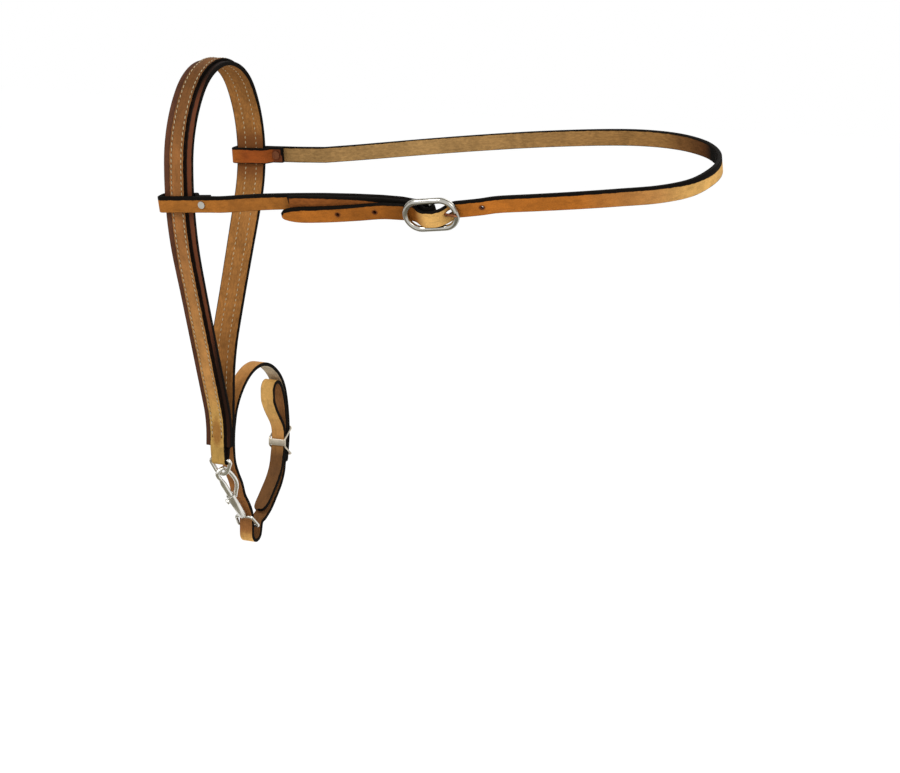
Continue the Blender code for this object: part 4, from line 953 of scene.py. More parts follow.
def cheek_route():
    fold = BUCKLE_BAR + CLEARANCE + FOLD_THICK / 2
    runs = list(np.linspace(-TURNBACK_LENGTH, -0.050, 40)) + list(np.linspace(-0.049, -0.002, 48))
    route, thick = [], []
    for u in runs:
        layer, out = cheek_layers(u, True)
        route.append(on_buckle(u, rise_at(CHEEK_RISE, u), out))
        thick.append(layer)
    for ahead, out in arc(math.pi / 2, -math.pi, 24):
        route.append(on_buckle(fold * ahead, rise_at(CHEEK_RISE, 0.0), -BUCKLE_BAR_BACK + fold * out))
        thick.append(FOLD_THICK)
    for u in reversed([u for u in runs if u > CHEEK_LEAVES]):
        layer, out = cheek_layers(u, False)
        route.append(on_buckle(u, rise_at(CHEEK_RISE, u), out))
        thick.append(layer)
    place, along, up, out = loop_frame(NEAR_LOOP)
    half = loop_half(NEAR_LOOP)
    _, last_out = cheek_layers(CHEEK_RISE[0][0], False)
    x, y, above, tilt = CHEEK_BRIDGE
    bridge = [route[-1], on_buckle(CHEEK_BRIDGE_FROM, rise_at(CHEEK_RISE, CHEEK_BRIDGE_FROM), last_out),
              (x, y, -NEAR_LOOP["drop"] + above, *leaning(math.radians(tilt))),
              *((*(place + along * u + out * half), *up) for u in NEAR_JOINING)]
    route = route[:-1] + smooth_route(bridge, 14)
    route += loop_route(NEAR_LOOP)
    thick += [STRAP_THICK] * (len(route) - len(thick))
    return StrapRoute(route, STRAP_WIDTH / 2, [t / 2 for t in thick])


def small_loop_route():
    def aside(y, z):
        return 0.0 if y >= 0 else -NEAR_LEG_SIDE * math.sin(math.pi * min(1.0, z / NEAR_LEG_TOP))

    front = EYE_WIRE + CLEARANCE + LOOP_THICK / 2
    turn = [(-front + LOOP_TURN_RADIUS * (1 + aside), -LOOP_TURN_DROP + LOOP_TURN_RADIUS * up)
            for aside, up in arc(math.pi, LOOP_TURN, 7)]
    points = [Vector((aside(y, z), y, z)) for y, z in OVER_TOP]
    points += [Vector((0.0, y, z)) for y, z in turn + FAR_LEG]
    places = [eye_bar() + p for p in smooth_route(points, 7)]
    gone = lengths_to(places)
    wide = [min(tip(g, *LOOP_OUTER_TIP), tip(gone[-1] - g, *LOOP_INNER_TIP)) for g in gone]
    return StrapRoute(places, wide, LOOP_THICK / 2)


# Materials

class Nodes:
    """Adds nodes to a material or a world and links them, with short calls."""

    def __init__(self, owner):
        owner.use_nodes = True
        self.owner = owner
        self.tree = owner.node_tree
        self.shader = self.tree.nodes.get("Principled BSDF")

    def add(self, kind, inputs=None, **settings):
        node = self.tree.nodes.new("ShaderNode" + kind)
        for key, value in settings.items():
            setattr(node, key, value)
        for key, value in (inputs or {}).items():
            self.feed(node.inputs[key], value)
        return node

    def feed(self, socket, value):
        if isinstance(value, bpy.types.NodeSocket):
            self.tree.links.new(value, socket)
        elif isinstance(value, (tuple, list)) and len(value) == 3 and socket.type == "RGBA":
            socket.default_value = (*value, 1.0)
        else:
            socket.default_value = value

    def math(self, operation, first, second=0.0):
        return self.add("Math", {0: first, 1: second}, operation=operation).outputs[0]

    def plus(self, first, second):
        return self.math("ADD", first, second)

    def less(self, first, second):
        return self.math("SUBTRACT", first, second)

    def times(self, first, second):
        return self.math("MULTIPLY", first, second)

    def vector(self, operation, first, second):
        return self.add("VectorMath", {0: first, 1: second}, operation=operation).outputs[0]

    def spread(self, value, low, high, to_low=0.0, to_high=1.0):
        """Maps a range of a value to another one, smoothly."""
        node = self.add("MapRange", {0: value, 1: low, 2: high, 3: to_low, 4: to_high},
                        interpolation_type="SMOOTHSTEP")
        return node.outputs[0]

    def mix(self, factor, first, second):
        return self.add("Mix", {0: factor, 6: first, 7: second}, data_type="RGBA").outputs[2]

    def mix_value(self, factor, first, second):
        return self.add("Mix", {0: factor, 2: first, 3: second}, data_type="FLOAT").outputs[0]

    def scaled(self, colour, value):
        """A colour made lighter or darker by a value."""
        return self.add("VectorMath", {0: colour, "Scale": value}, operation="SCALE").outputs[0]

    def ramp(self, part, stops, length):
        """Colours along a strap, from (length, colour) stops in order."""
        node = self.add("ValToRGB", {0: part})
        elements = node.color_ramp.elements
        elements.remove(elements[1])
        elements[0].position = stops[0][0] / length
        elements[0].color = (*stops[0][1], 1.0)
        for at, colour in stops[1:]:
            elements.new(min(1.0, at / length)).color = (*colour, 1.0)
        return node.outputs[0]

    def place(self):
        return self.add("TexCoord").outputs["Object"]

    def noise(self, vector, scale, detail=3.0, roughness=0.55):
        return self.add("TexNoise", {"Vector": vector, "Scale": scale, "Detail": detail,
                                     "Roughness": roughness}).outputs["Fac"]

    def set(self, bump=None, **values):
        """Feeds the shader's sockets, and its normal from a (strength, distance, height) bump."""
        if bump:
            strength, distance, height = bump
            node = self.add("Bump", {"Strength": strength, "Distance": distance, "Height": height})
            values["Normal"] = node.outputs[0]
        for key, value in values.items():
            self.feed(self.shader.inputs[key.replace("_", " ")], value)

    def seen(self):
        """1 for what the camera sees, straight or in a reflection, and 0 for what lights the scene."""
        rays = self.add("LightPath").outputs
        reflected = self.math("MAXIMUM", rays["Is Glossy Ray"], rays["Is Transmission Ray"])
        return self.math("MAXIMUM", rays["Is Camera Ray"], reflected)

    def show(self, factor, first, second):
        """Puts a mix of two shaders on the surface."""
        mixed = self.add("MixShader", {0: factor, 1: first.outputs[0], 2: second.outputs[0]})
        output = self.tree.nodes.get("Material Output") or self.tree.nodes["World Output"]
        self.tree.links.new(mixed.outputs[0], output.inputs["Surface"])


def shade(colour, factor):
    return tuple(c * factor for c in colour)


def leather(name, length, grain, flesh, near_black, reach, grain_side=1.0, marks=(), rows=(), bands=()):
    """Oiled harness leather: grain side, flesh side, dyed edges, and marks at given places.

    Grain and flesh are colours along the strap, as (length, colour) stops. A mark is (length, width,
    half length, half width, colour, strength, side) on the flat strap, with side 1 for the grain, -1 for
    the flesh and 0 for both. A row of stitches is (width, pitch, start, end). Reach is how far the edge
    dye runs onto the face, in millimetres, as (length, at width -, at width +) stops. A band is
    (width, width, colour, strength) along the whole grain side.
    """
    n = Nodes(bpy.data.materials.new(name))
    flat = n.add("Attribute", attribute_name="flat").outputs["Vector"]
    edge = n.add("Attribute", attribute_name="from_edge").outputs["Fac"]
    place = n.place()
    along, across, through = n.add("SeparateXYZ", {0: flat}).outputs
    part = n.math("DIVIDE", along, length)
    stretched = n.vector("MULTIPLY", flat, FIBRE_STRETCH)
    cloud = n.noise(place, 42.0, 5.0, 0.6)
    streak = n.noise(stretched, 330.0, 5.0, 0.65)
    fine = n.noise(place, 1100.0, 3.0, 0.6)
    pores = n.add("TexVoronoi", {"Vector": place, "Scale": 1250.0}).outputs["Distance"]

    tone = n.times(n.spread(cloud, 0.32, 0.70, 0.84, 1.14), n.spread(streak, 0.40, 0.75, 1.06, 0.80))
    tone = n.times(tone, n.spread(fine, 0.30, 0.75, 0.90, 1.14))
    nap = n.times(n.spread(n.noise(stretched, 520.0, 6.0, 0.7), 0.34, 0.70, 0.76, 1.20),
                  n.spread(cloud, 0.36, 0.66, 0.84, 1.10))
    on_grain = n.spread(n.times(through, grain_side), -0.45, 0.45)
    colour = n.mix(on_grain, n.scaled(n.ramp(part, flesh, length), nap),
                   n.scaled(n.ramp(part, grain, length), tone))

    uneven = n.times(n.less(n.noise(place, 210.0, 4.0), 0.5), EDGE_UNEVEN)
    shifted = n.plus(across, uneven)
    for start, end, tint, strength in bands:
        inside = n.times(n.spread(shifted, start - 0.0006, start + 0.0006),
                         n.spread(shifted, end + 0.0008, end - 0.0008))
        colour = n.mix(n.times(n.times(inside, on_grain), strength), colour, tint)

    for at, off, half_length, half_width, tint, strength, side in marks:
        offset = n.vector("SUBTRACT", flat, (at, off, 0.0))
        scaled = n.vector("MULTIPLY", offset, (1 / half_length, 1 / half_width, 0.0))
        distance = n.add("VectorMath", {0: scaled}, operation="LENGTH").outputs["Value"]
        ragged = n.plus(distance, n.times(n.less(fine, 0.5), 0.5))
        amount = n.spread(ragged, 1.0, 0.45, 0.0, strength)
        if side:
            amount = n.times(amount, on_grain if side > 0 else n.less(1.0, on_grain))
        colour = n.mix(amount, colour, tint)

    height = n.plus(n.times(pores, 0.5), n.times(fine, 0.6))
    height = n.plus(height, n.times(n.noise(place, 170.0, 2.0), 1.2))
    for row, pitch, start, end in rows:
        from_row = n.math("ABSOLUTE", n.less(n.math("ABSOLUTE", across), row))
        sewn = n.times(n.spread(along, start, start + 0.002), n.spread(along, end, end - 0.002))
        groove = n.times(n.spread(from_row, 0.0013, 0.0003), sewn)
        height = n.less(height, n.times(groove, GROOVE_DEPTH))
        beat = n.math("PINGPONG", along, pitch / 2)
        prick = n.times(groove, n.spread(beat, 0.0010, 0.0003))
        colour = n.mix(n.times(groove, 0.35), colour, GROOVE_SHADE)
        colour = n.mix(n.times(prick, 0.80), colour, PRICK_SHADE)

    stops = [(at, (low * 0.1, high * 0.1, 0.0)) for at, low, high in reach]
    low, high, _ = n.add("SeparateXYZ", {0: n.ramp(part, stops, length)}).outputs
    limit = n.times(n.mix_value(n.spread(across, -0.001, 0.001), low, high), 0.010)
    wavy = n.less(n.plus(edge, uneven), limit)
    dyed = n.spread(wavy, 0.00030, -0.00025)
    worn_dye = n.mix(n.spread(fine, 0.50, 0.85, 0.0, 0.25), near_black, WORN_DYE)
    rough = n.mix_value(on_grain, 0.90, n.spread(cloud, 0.3, 0.7, 0.46, 0.62))
    n.set(Base_Color=n.mix(dyed, colour, worn_dye), Roughness=n.mix_value(dyed, rough, 0.80),
          Specular_IOR_Level=LEATHER_SHINE, bump=(0.35, 0.00022, height))
    return n.owner


def plated(name, colour, roughness):
    """Bright plate with fine scratches, soft waviness and duller patches."""
    n = Nodes(bpy.data.materials.new(name))
    place = n.place()
    cloud = n.noise(place, 90.0, 3.0)
    scratch = n.noise(n.vector("MULTIPLY", place, (1.0, 5.0, 1.0)), 900.0, 5.0, 0.7)
    tone = n.mix(n.spread(cloud, 0.46, 0.70, 0.0, 0.35), colour, shade(colour, 0.55))
    tone = n.mix(n.spread(scratch, 0.60, 0.80, 0.0, 0.30), tone, shade(colour, 0.70))
    n.set(Base_Color=tone, Roughness=n.spread(scratch, 0.35, 0.75, roughness, roughness + 0.14),
          Metallic=1.0, bump=(0.12, 0.0002, n.plus(n.times(cloud, 1.5), scratch)))
    return n.owner


def waxed_thread(name, colour):
    n = Nodes(bpy.data.materials.new(name))
    place = n.place()
    twist = n.add("TexWave", {"Vector": place, "Scale": 900.0, "Distortion": 1.5, "Detail": 1.0},
                  bands_direction="DIAGONAL").outputs["Fac"]
    soiled = n.spread(n.noise(place, 45.0, 3.0), 0.42, 0.68, 0.0, 0.55)
    tone = n.mix(n.times(twist, 0.35), colour, shade(colour, 0.6))
    tone = n.mix(soiled, tone, shade(colour, 0.55))
    n.set(Base_Color=tone, Roughness=0.7, bump=(0.4, 0.0001, twist))
    return n.owner


# Settings

def length_setting(name, description, default):
    return FloatProperty(name=name, description=description, default=default, unit="LENGTH")


def colour_setting(name, description, *default):
    return FloatVectorProperty(name=name, description=description, default=default, size=3, subtype="COLOR")


class NosebandSizes(bpy.types.PropertyGroup):
    """Sizes of the sewing and finishing."""

    stitch_pitch: length_setting("Stitch pitch", "Distance from stitch to stitch", 0.0053)
    stitch_length: length_setting("Stitch length", "Length of thread that shows", 0.0039)
    thread_width: length_setting("Thread width", "Width of the waxed thread", 0.0010)
    stitch_margin: length_setting("Stitch margin", "Row of stitches from the overlay's edge", 0.0025)
    inner_row: length_setting("Inner row", "Base's inner stitches from its middle", 0.0061)
    inner_shift: length_setting("Inner shift", "Both inner rows' shift to the crown's side", 0.0008)
    hole: length_setting("Punched hole", "Radius of a punched hole after the leather closes", 0.0016)


class NosebandColours(bpy.types.PropertyGroup):
    """Colours of the leather, thread and plate."""

    tan: colour_setting("Tan", "Grain of the overlay on the noseband's sides", 0.275, 0.112, 0.033)
    golden: colour_setting("Golden", "Grain of the overlay and the loop low down", 0.480, 0.230, 0.067)
    honey: colour_setting("Honey", "Grain of the overlay round the dee", 0.500, 0.295, 0.078)
    # On the small loop's curl this pale grain also stands for painted highlight.
    sallow: colour_setting("Sallow", "Grain worn pale by bending", 0.610, 0.345, 0.102)
    orange: colour_setting("Orange", "Grain of the crown strap and its billet", 0.435, 0.140, 0.018)
    russet: colour_setting("Russet", "Grain handled dark: far loop and turnback", 0.270, 0.066, 0.012)
    umber: colour_setting("Umber", "Grain of the small loop's inner end", 0.148, 0.066, 0.023)
    flesh: colour_setting("Flesh", "Flesh side of the crown strap", 0.380, 0.220, 0.080)
    base_flesh: colour_setting("Base flesh", "Flesh side of the base strap", 0.345, 0.150, 0.040)
    cream: colour_setting("Cream", "Flesh side of the small loop", 0.510, 0.420, 0.290)
    chestnut: colour_setting("Chestnut", "Grain of the base strap", 0.110, 0.041, 0.020)
    red_brown: colour_setting("Red brown", "Stripe along the base strap's outer margin", 0.135, 0.040, 0.016)
    edge_dye: colour_setting("Edge dye", "Dyed and burnished strap edges", 0.005, 0.004, 0.003)
    thread: colour_setting("Thread", "Waxed sewing thread", 0.580, 0.460, 0.270)
    nickel: colour_setting("Nickel", "Nickel plate", 0.660, 0.640, 0.580)
    bright: colour_setting("Bright", "Newer plate of the dee, snap and eye", 0.800, 0.785, 0.730)
    slide_plate: colour_setting("Slide plate", "Brushed plate of the slide buckle", 0.640, 0.570, 0.460)
    bronze: colour_setting("Bronze", "Worn plate of the far post", 0.200, 0.075, 0.035)
    spring: colour_setting("Spring", "Spring wire", 0.340, 0.340, 0.350)


def own_names(group):
    return [name for name in group.bl_rna.properties.keys() if name not in ("rna_type", "name")]


# Operators, one for each piece or group of like pieces

class PieceOperator:
    """What every piece's operator shares."""

    bl_options = {"REGISTER", "UNDO"}

    def settings(self, context):
        """The sizes, and the colours as plain tuples."""
        group = context.scene.noseband_colours
        colours = {name: tuple(getattr(group, name)) for name in own_names(group)}
        return context.scene.noseband_sizes, SimpleNamespace(**colours)


class NOSEBAND_OT_base_strap(PieceOperator, bpy.types.Operator):
    """Base strap of the noseband, with the through stitches on its flesh side"""

    bl_idname = "noseband.base_strap"
    bl_label = "Base strap"

    def execute(self, context):
        sizes, colours = self.settings(context)
        route = base_route()
        strap = make_strap("base_strap", route)
        edge, top = STRAP_WIDTH / 2, route.length / 2
        chestnut, flesh_side, near_black = colours.chestnut, colours.base_flesh, colours.edge_dye
        grain = [(0.0, shade(chestnut, 0.75)), (0.10, chestnut), (top - 0.09, chestnut),
                 (top, shade(chestnut, 0.70)), (top + 0.09, chestnut), (route.length, shade(chestnut, 0.75))]
        flesh = [(0.0, shade(flesh_side, 0.75)), (0.15, flesh_side), (top, shade(flesh_side, 0.85)),
                 (top + 0.10, flesh_side), (route.length - 0.15, shade(flesh_side, 1.05)),
                 (route.length, shade(flesh_side, 0.70))]
        marks = [(leg_length(route, loop["side"], loop["drop"]), 0.0, 0.034, 0.060, UNDER_LOOP, 0.90, -1)
                 for loop in (NEAR_LOOP, FAR_LOOP)]
        # The first of these marks is painted shade: the margin beside the overlay is painted near black over
        # the arch's top.
        marks += [(top, -0.012, 0.075, 0.008, near_black, 0.9, 1),
                  (leg_length(route, -1, LOW_STRIPE_DROP), -0.0130, 0.110, 0.0045, near_black, 0.85, 1)]
        # The second band is painted shadow: near black on the base along the overlay's edge.
        bands = [(-0.0160, -edge - 0.0022, colours.red_brown, 0.95),
                 (-edge - 0.0026, -edge + 0.0004, near_black, 0.96)]
        reach = [(0.0, 0.6, 0.7), (top - 0.10, 0.5, 0.6), (top, 2.5, 0.6), (top + 0.10, 0.9, 1.0)]
        look = leather("chestnut_leather", route.length, grain, flesh, near_black, marks=marks, bands=bands,
                       reach=reach)
        finish_piece(strap, look, "noseband", ["noseband_base"])
        stitches = sewn_rows("through_stitches", route,
                             [side * sizes.inner_row - sizes.inner_shift for side in (-1, 1)],
                             (0.006, route.length - 0.006),
                             -BASE_THICK / 2 - sizes.thread_width * THREAD_PROUD, sizes.stitch_pitch,
                             sizes.stitch_length * INNER_STITCH, sizes.thread_width)
        finish_piece(stitches, waxed_thread("inner_thread", colours.thread), "noseband")
        return {"FINISHED"}


class NOSEBAND_OT_overlay(PieceOperator, bpy.types.Operator):
    """Overlay strap of the noseband, closed round the dee, with its two rows of stitches"""

    bl_idname = "noseband.overlay"
    bl_label = "Overlay strap"

    def execute(self, context):
        sizes, colours = self.settings(context)
        route = overlay_route()
        strap = make_strap("overlay_strap", route, closed=True, rounding=OVERLAY_ROUNDING)
        row = STRAP_WIDTH / 2 - sizes.stitch_margin
        far_end = route.length_at(0.0, *leg_rows(1, OVERLAY_OFFSET)[-1][0])
        near, far = [{drop: leg_length(route, side, drop, OVERLAY_OFFSET)
                      for drop in (0.372, 0.320, 0.150, 0.085, 0.035)} for side in (-1, 1)]
        tan, golden, honey, shaded_tan = colours.tan, colours.golden, colours.honey, shade(colours.tan, 0.62)
        # The grain is painted darker towards the arch's top, as painted shade.
        grain = [(0.0, honey), (0.022, honey), (near[0.320], golden), (near[0.150], shade(tan, 1.15)),
                 (near[0.085], tan), (near[0.035], shaded_tan), (far[0.035], shaded_tan), (far[0.085], tan),
                 (far[0.150], shade(tan, 1.15)), (far[0.320], golden), (far_end, honey),
                 (route.length, honey)]
        # The flesh side is painted near black, as painted shade in the fold round the dee.
        look = leather("overlay_leather", route.length, grain, [(0.0, OVERLAY_FOLD_SHADE)], colours.edge_dye,
                       marks=[(near[0.372], 0.0, 0.020, 0.0075, RUST, 0.60, 1)],
                       rows=[(row, sizes.stitch_pitch, 0.008, far_end - 0.008)], reach=[(0.0, 0.3, 0.5)])
        finish_piece(strap, look, "noseband", ["noseband_overlay"])
        stitches = sewn_rows("overlay_stitches", route, (-row, row), (0.012, far_end - 0.012),
                             OVERLAY_THICK / 2 + sizes.thread_width * THREAD_PROUD, sizes.stitch_pitch,
                             sizes.stitch_length, sizes.thread_width)
        finish_piece(stitches, waxed_thread("outer_thread", colours.thread), "noseband")
        return {"FINISHED"}


class NOSEBAND_OT_crown_strap(PieceOperator, bpy.types.Operator):
    """Crown strap with its punched billet end and its loop round the far leg"""

    bl_idname = "noseband.crown_strap"
    bl_label = "Crown strap"

    def execute(self, context):
        sizes, colours = self.settings(context)
        route = crown_route()
        holes, marks = [], []
        for u in HOLES_AT:
            v = rise_at(TAIL_ROUTE, u) if u < 0 else HOLE_ROW
            at, across = route.flat_of(buckle_point(u, v, behind_frame()))
            holes.append((at, across, sizes.hole))
            # Painted shade round each hole.
            marks.append((at, across, 0.0040, 0.0036, HOLE_SHADE, 0.95, 0))
        at, across = route.flat_of(buckle_point(TONGUE_HOLE_AT, TONGUE_ROW, billet_out(TONGUE_HOLE_AT)))
        holes.append((at, across, TONGUE_WIRE + TONGUE_HOLE_PLAY, TONGUE_HOLE_STRETCH))
        # Longer painted shade round the tongue's hole, standing for the tongue's shadow.
        marks.append((at, across, 0.0085, 0.0042, HOLE_SHADE, 0.9, 0))
        screw_holes = loop_screw_holes(route, FAR_LOOP)
        holes += screw_holes
        marks.append((screw_holes[1][0] + 0.003, 0.0, 0.011, 0.030, UNDER_POST, 0.85, 1))
        strap = make_strap("crown_strap_leather", route, holes)
        buckle = route.length_at(*buckle_point(0.0, TONGUE_ROW, over_bar()))
        turn = [route.length_at(*row[:3]) for row in CROWN_ROUTE]
        loop = route.length - 0.075
        orange, russet, near_black = colours.orange, colours.russet, colours.edge_dye
        worn, bent = shade(colours.sallow, 1.12), shade(colours.sallow, 1.2)
        grain = [(0.0, orange), (0.055, shade(orange, 0.85)), (buckle - 0.030, shade(orange, 0.55)),
                 (buckle - 0.018, shade(orange, 0.60)), (buckle - 0.002, worn), (buckle + 0.016, worn),
                 (buckle + 0.030, orange), (turn[2], orange), (turn[4], colours.golden), (turn[5], bent),
                 (turn[8], bent), (turn[10], orange), (loop, orange), (loop + 0.030, russet),
                 (route.length, russet)]
        flesh = [(0.0, colours.flesh), (turn[5], colours.umber), (turn[6], near_black),
                 ((turn[8] + turn[9]) / 2, near_black), (turn[9], (0.095, 0.036, 0.011)),
                 (turn[10], (0.190, 0.085, 0.026)), ((turn[10] + turn[11]) / 2, (0.280, 0.140, 0.042)),
                 (turn[15], colours.flesh), (route.length, colours.flesh)]
        reach = [(0.0, 0.3, 2.8), (0.050, 0.3, 2.4), (buckle, 0.3, 0.8), (buckle + 0.003, 0.3, 1.6),
                 (buckle + 0.012, 0.3, 1.8), (turn[0], 0.3, 2.6), (turn[4], 0.3, 2.8), (turn[5], 0.3, 4.0),
                 (turn[6], 0.8, 6.0), (turn[7], 0.8, 5.0), (turn[8], 0.8, 1.2), (turn[15], 0.3, 0.8),
                 (loop, 0.8, 1.8), (route.length, 1.0, 2.2)]
        look = leather("crown_leather", route.length, grain, flesh, near_black, marks=marks, reach=reach)
        finish_piece(strap, look, "crown", ["crown_strap"])
        return {"FINISHED"}


class NOSEBAND_OT_cheek_strap(PieceOperator, bpy.types.Operator):
    """Cheek strap, turned back round the crown buckle and looped round the near leg"""

    bl_idname = "noseband.cheek_strap"
    bl_label = "Cheek strap"

    def execute(self, context):
        _, colours = self.settings(context)
        route = cheek_route()
        fold = BUCKLE_BAR + CLEARANCE + FOLD_THICK / 2
        middle = route.length_at(*buckle_point(fold, TONGUE_ROW, -BUCKLE_BAR_BACK))
        slot_reach = TONGUE_SLOT_RUN + math.pi * fold / 2
        holes = [(middle, 0.0, TONGUE_SLOT_RADIUS, slot_reach / TONGUE_SLOT_RADIUS)]
        rise = rise_at(CHEEK_RISE, TURNBACK_SCREW_AT)
        for turnback in (True, False):
            _, layer = cheek_layers(TURNBACK_SCREW_AT, turnback)
            at, across = route.flat_of(buckle_point(TURNBACK_SCREW_AT, rise, layer))
            holes.append((at, across, HOLE_RADIUS))
        strap = make_strap("cheek_strap_leather", route, holes + loop_screw_holes(route, NEAR_LOOP))
        loop = route.length - 0.110
        front = tuple(c * k for c, k in zip(colours.orange, (0.78, 0.88, 1.15)))
        turned = tuple(c * k for c, k in zip(colours.russet, (1.12, 1.45, 1.8)))
        grain = [(0.0, turned), (0.14, turned), (0.20, front), (loop, front), (route.length, front)]
        flesh = [(0.0, turned), (0.145, turned), (0.170, colours.flesh)]
        look = leather("cheek_leather", route.length, grain, flesh, colours.edge_dye, grain_side=-1.0,
                       reach=[(0.0, 0.0, 1.6), (0.080, 0.0, 3.0), (0.125, 0.0, 7.0), (0.20, 0.3, 2.0),
                              (loop, 0.3, 3.6), (route.length, 0.3, 3.6)])
        finish_piece(strap, look, "crown", ["cheek_strap"])
        return {"FINISHED"}


class NOSEBAND_OT_tie_down_loop(PieceOperator, bpy.types.Operator):
    """Small buckled loop that holds the tie-down strap"""

    bl_idname = "noseband.tie_down_loop"
    bl_label = "Tie-down loop"

    def execute(self, context):
        sizes, colours = self.settings(context)
        route = small_loop_route()
        punched = [route.length_at(*loop_place(*OVER_TOP[row])) for row in LOOP_HOLE_ROWS]
        pinned = [route.length_at(*loop_place(layer_out(layer), LOOP_BUCKLE_UP)) for layer in range(3)]
        holes = [(at, 0.0, sizes.hole) for at in punched] + [(at, 0.0, HOLE_RADIUS) for at in pinned]
        # Painted shade round each punched hole.
        marks = [(at, 0.0, 0.0038, 0.0034, HOLE_SHADE, 0.9, 0) for at in punched]
        strap = make_strap("tie_down_loop_leather", route, holes, widest=LOOP_CUTS)
        top, near = [route.length_at(*loop_place(*OVER_TOP[i])) for i in (12, 22)]
        turn = route.length_at(*loop_place(0.0, -LOOP_TURN_DROP - LOOP_TURN_RADIUS))
        curl, over, bar, tail = [route.length_at(*loop_place(*FAR_LEG[i])) for i in (16, 21, 25, 27)]
        tan, golden, umber, sallow = colours.tan, colours.golden, colours.umber, colours.sallow
        # Painted light: the grain is painted lighter over the loop's top and its curl, as painted highlight,
        # and darker down its inner end, as painted shade.
        grain = [(0.0, tan), (top, shade(golden, 1.15)), (near, shade(tan, 1.3)), (turn - 0.012, tan),
                 (turn, shade(sallow, 1.5)), (turn + 0.016, tan), (curl, shade(sallow, 1.15)),
                 (over, shade(sallow, 1.05)), (bar, golden), (tail, umber), (route.length, umber)]
        flesh = [(0.0, colours.cream), (top, colours.cream), (near, umber),
                 (curl - 0.02, shade(umber, 1.9)), (route.length, shade(umber, 1.9))]
        look = leather("loop_leather", route.length, grain, flesh, colours.edge_dye, grain_side=-1.0,
                       marks=marks, reach=[(0.0, 0.9, 0.4)])
        finish_piece(strap, look, "loop", ["loop_strap"])
        return {"FINISHED"}


class NOSEBAND_OT_crown_buckle(PieceOperator, bpy.types.Operator):
    """Oval crown buckle with its bar, and its tongue"""

    bl_idname = "noseband.crown_buckle"
    bl_label = "Crown buckle"

    def execute(self, context):
        _, colours = self.settings(context)
        points = []
        for side in (1, -1):
            for ahead, up in arc(side * math.pi / 2, -math.pi, 24):
                points.append(buckle_point(side * BUCKLE_STRAIGHT / 2 + BUCKLE_END_RADIUS * ahead,
                                           BUCKLE_END_RADIUS * up, 0.0))
        ring = wire("buckle_frame", points, BUCKLE_WIRE, closed=True, sides=7)
        unite(ring, rod("buckle_bar", BUCKLE_BAR, buckle_point(0, -BUCKLE_END_RADIUS, -BUCKLE_BAR_BACK),
                        buckle_point(0, BUCKLE_END_RADIUS, -BUCKLE_BAR_BACK), 24))
        smooth(ring, 50.0)
        nickel = plated("buckle_nickel", shade(colours.nickel, 0.70), 0.12)
        finish_piece(ring, nickel, "crown", ["crown_buckle_frame"])

        start = buckle_point(0.0, TONGUE_ROW, -BUCKLE_BAR_BACK - BUCKLE_BAR - CLEARANCE - TONGUE_WIRE)
        rim = BUCKLE_STRAIGHT / 2 + BUCKLE_END_RADIUS
        over = buckle_point(rim, TONGUE_ROW, BUCKLE_WIRE + CLEARANCE + TONGUE_WIRE)
        end = over + (over - start).normalized() * TONGUE_TIP
        radius = BUCKLE_BAR + CLEARANCE + TONGUE_WIRE
        circle = [buckle_point(radius * ahead, TONGUE_ROW, -BUCKLE_BAR_BACK + radius * out)
                  for ahead, out in arc(0.0, 2 * math.pi, 28)[:-1]]
        tongue = wire("buckle_tongue", circle, TONGUE_WIRE, closed=True, sides=4)
        line = [start.lerp(end, k / TONGUE_STEPS) for k in range(TONGUE_STEPS + 1)]
        narrowing = [1.0] * (TONGUE_STEPS - 2) + list(TONGUE_THINS)
        unite(tongue, wire("tongue_shaft", line, [TONGUE_WIRE * part for part in narrowing], sides=4))
        smooth(tongue, 50.0)
        worn = plated("tongue_plate", shade(colours.bronze, 1.5), 0.35)
        finish_piece(tongue, worn, "tongue", ["crown_buckle_tongue"])
        return {"FINISHED"}


class NOSEBAND_OT_screws(PieceOperator, bpy.types.Operator):
    """Finish of the three screws and their posts"""

    bl_idname = "noseband.screws"
    bl_label = "Screws"

    def execute(self, context):
        _, colours = self.settings(context)
        nickel = plated("screw_nickel", shade(colours.nickel, 0.72), 0.30)
        for node in ("near_post", "near_screw", "far_screw", "turnback_post", "turnback_screw"):
            dress(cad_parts[node], nickel)
        dress(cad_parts["far_post"], plated("post_bronze", colours.bronze, 0.40))
        return {"FINISHED"}


class NOSEBAND_OT_dee(PieceOperator, bpy.types.Operator):
    """Dee in the overlay's bottom bend"""

    bl_idname = "noseband.dee"
    bl_label = "Dee"

    def execute(self, context):
        _, colours = self.settings(context)
        bar, across = dee_bar_middle(), Vector((1.0, 0.0, 0.0))
        corners = [bar - across * DEE_HALF_BAR, bar + across * DEE_HALF_BAR, bar + dee_down() * DEE_APEX]
        outline = rounded_corners(corners, (DEE_CORNER, DEE_CORNER, DEE_BOTTOM_RADIUS))
        dee = wire("dee", outline, DEE_WIRE, closed=True, sides=6)
        smooth(dee, 60.0)
        finish_piece(dee, plated("dee_nickel", colours.bright, 0.16), "dee", ["dee_ring"])
        return {"FINISHED"}


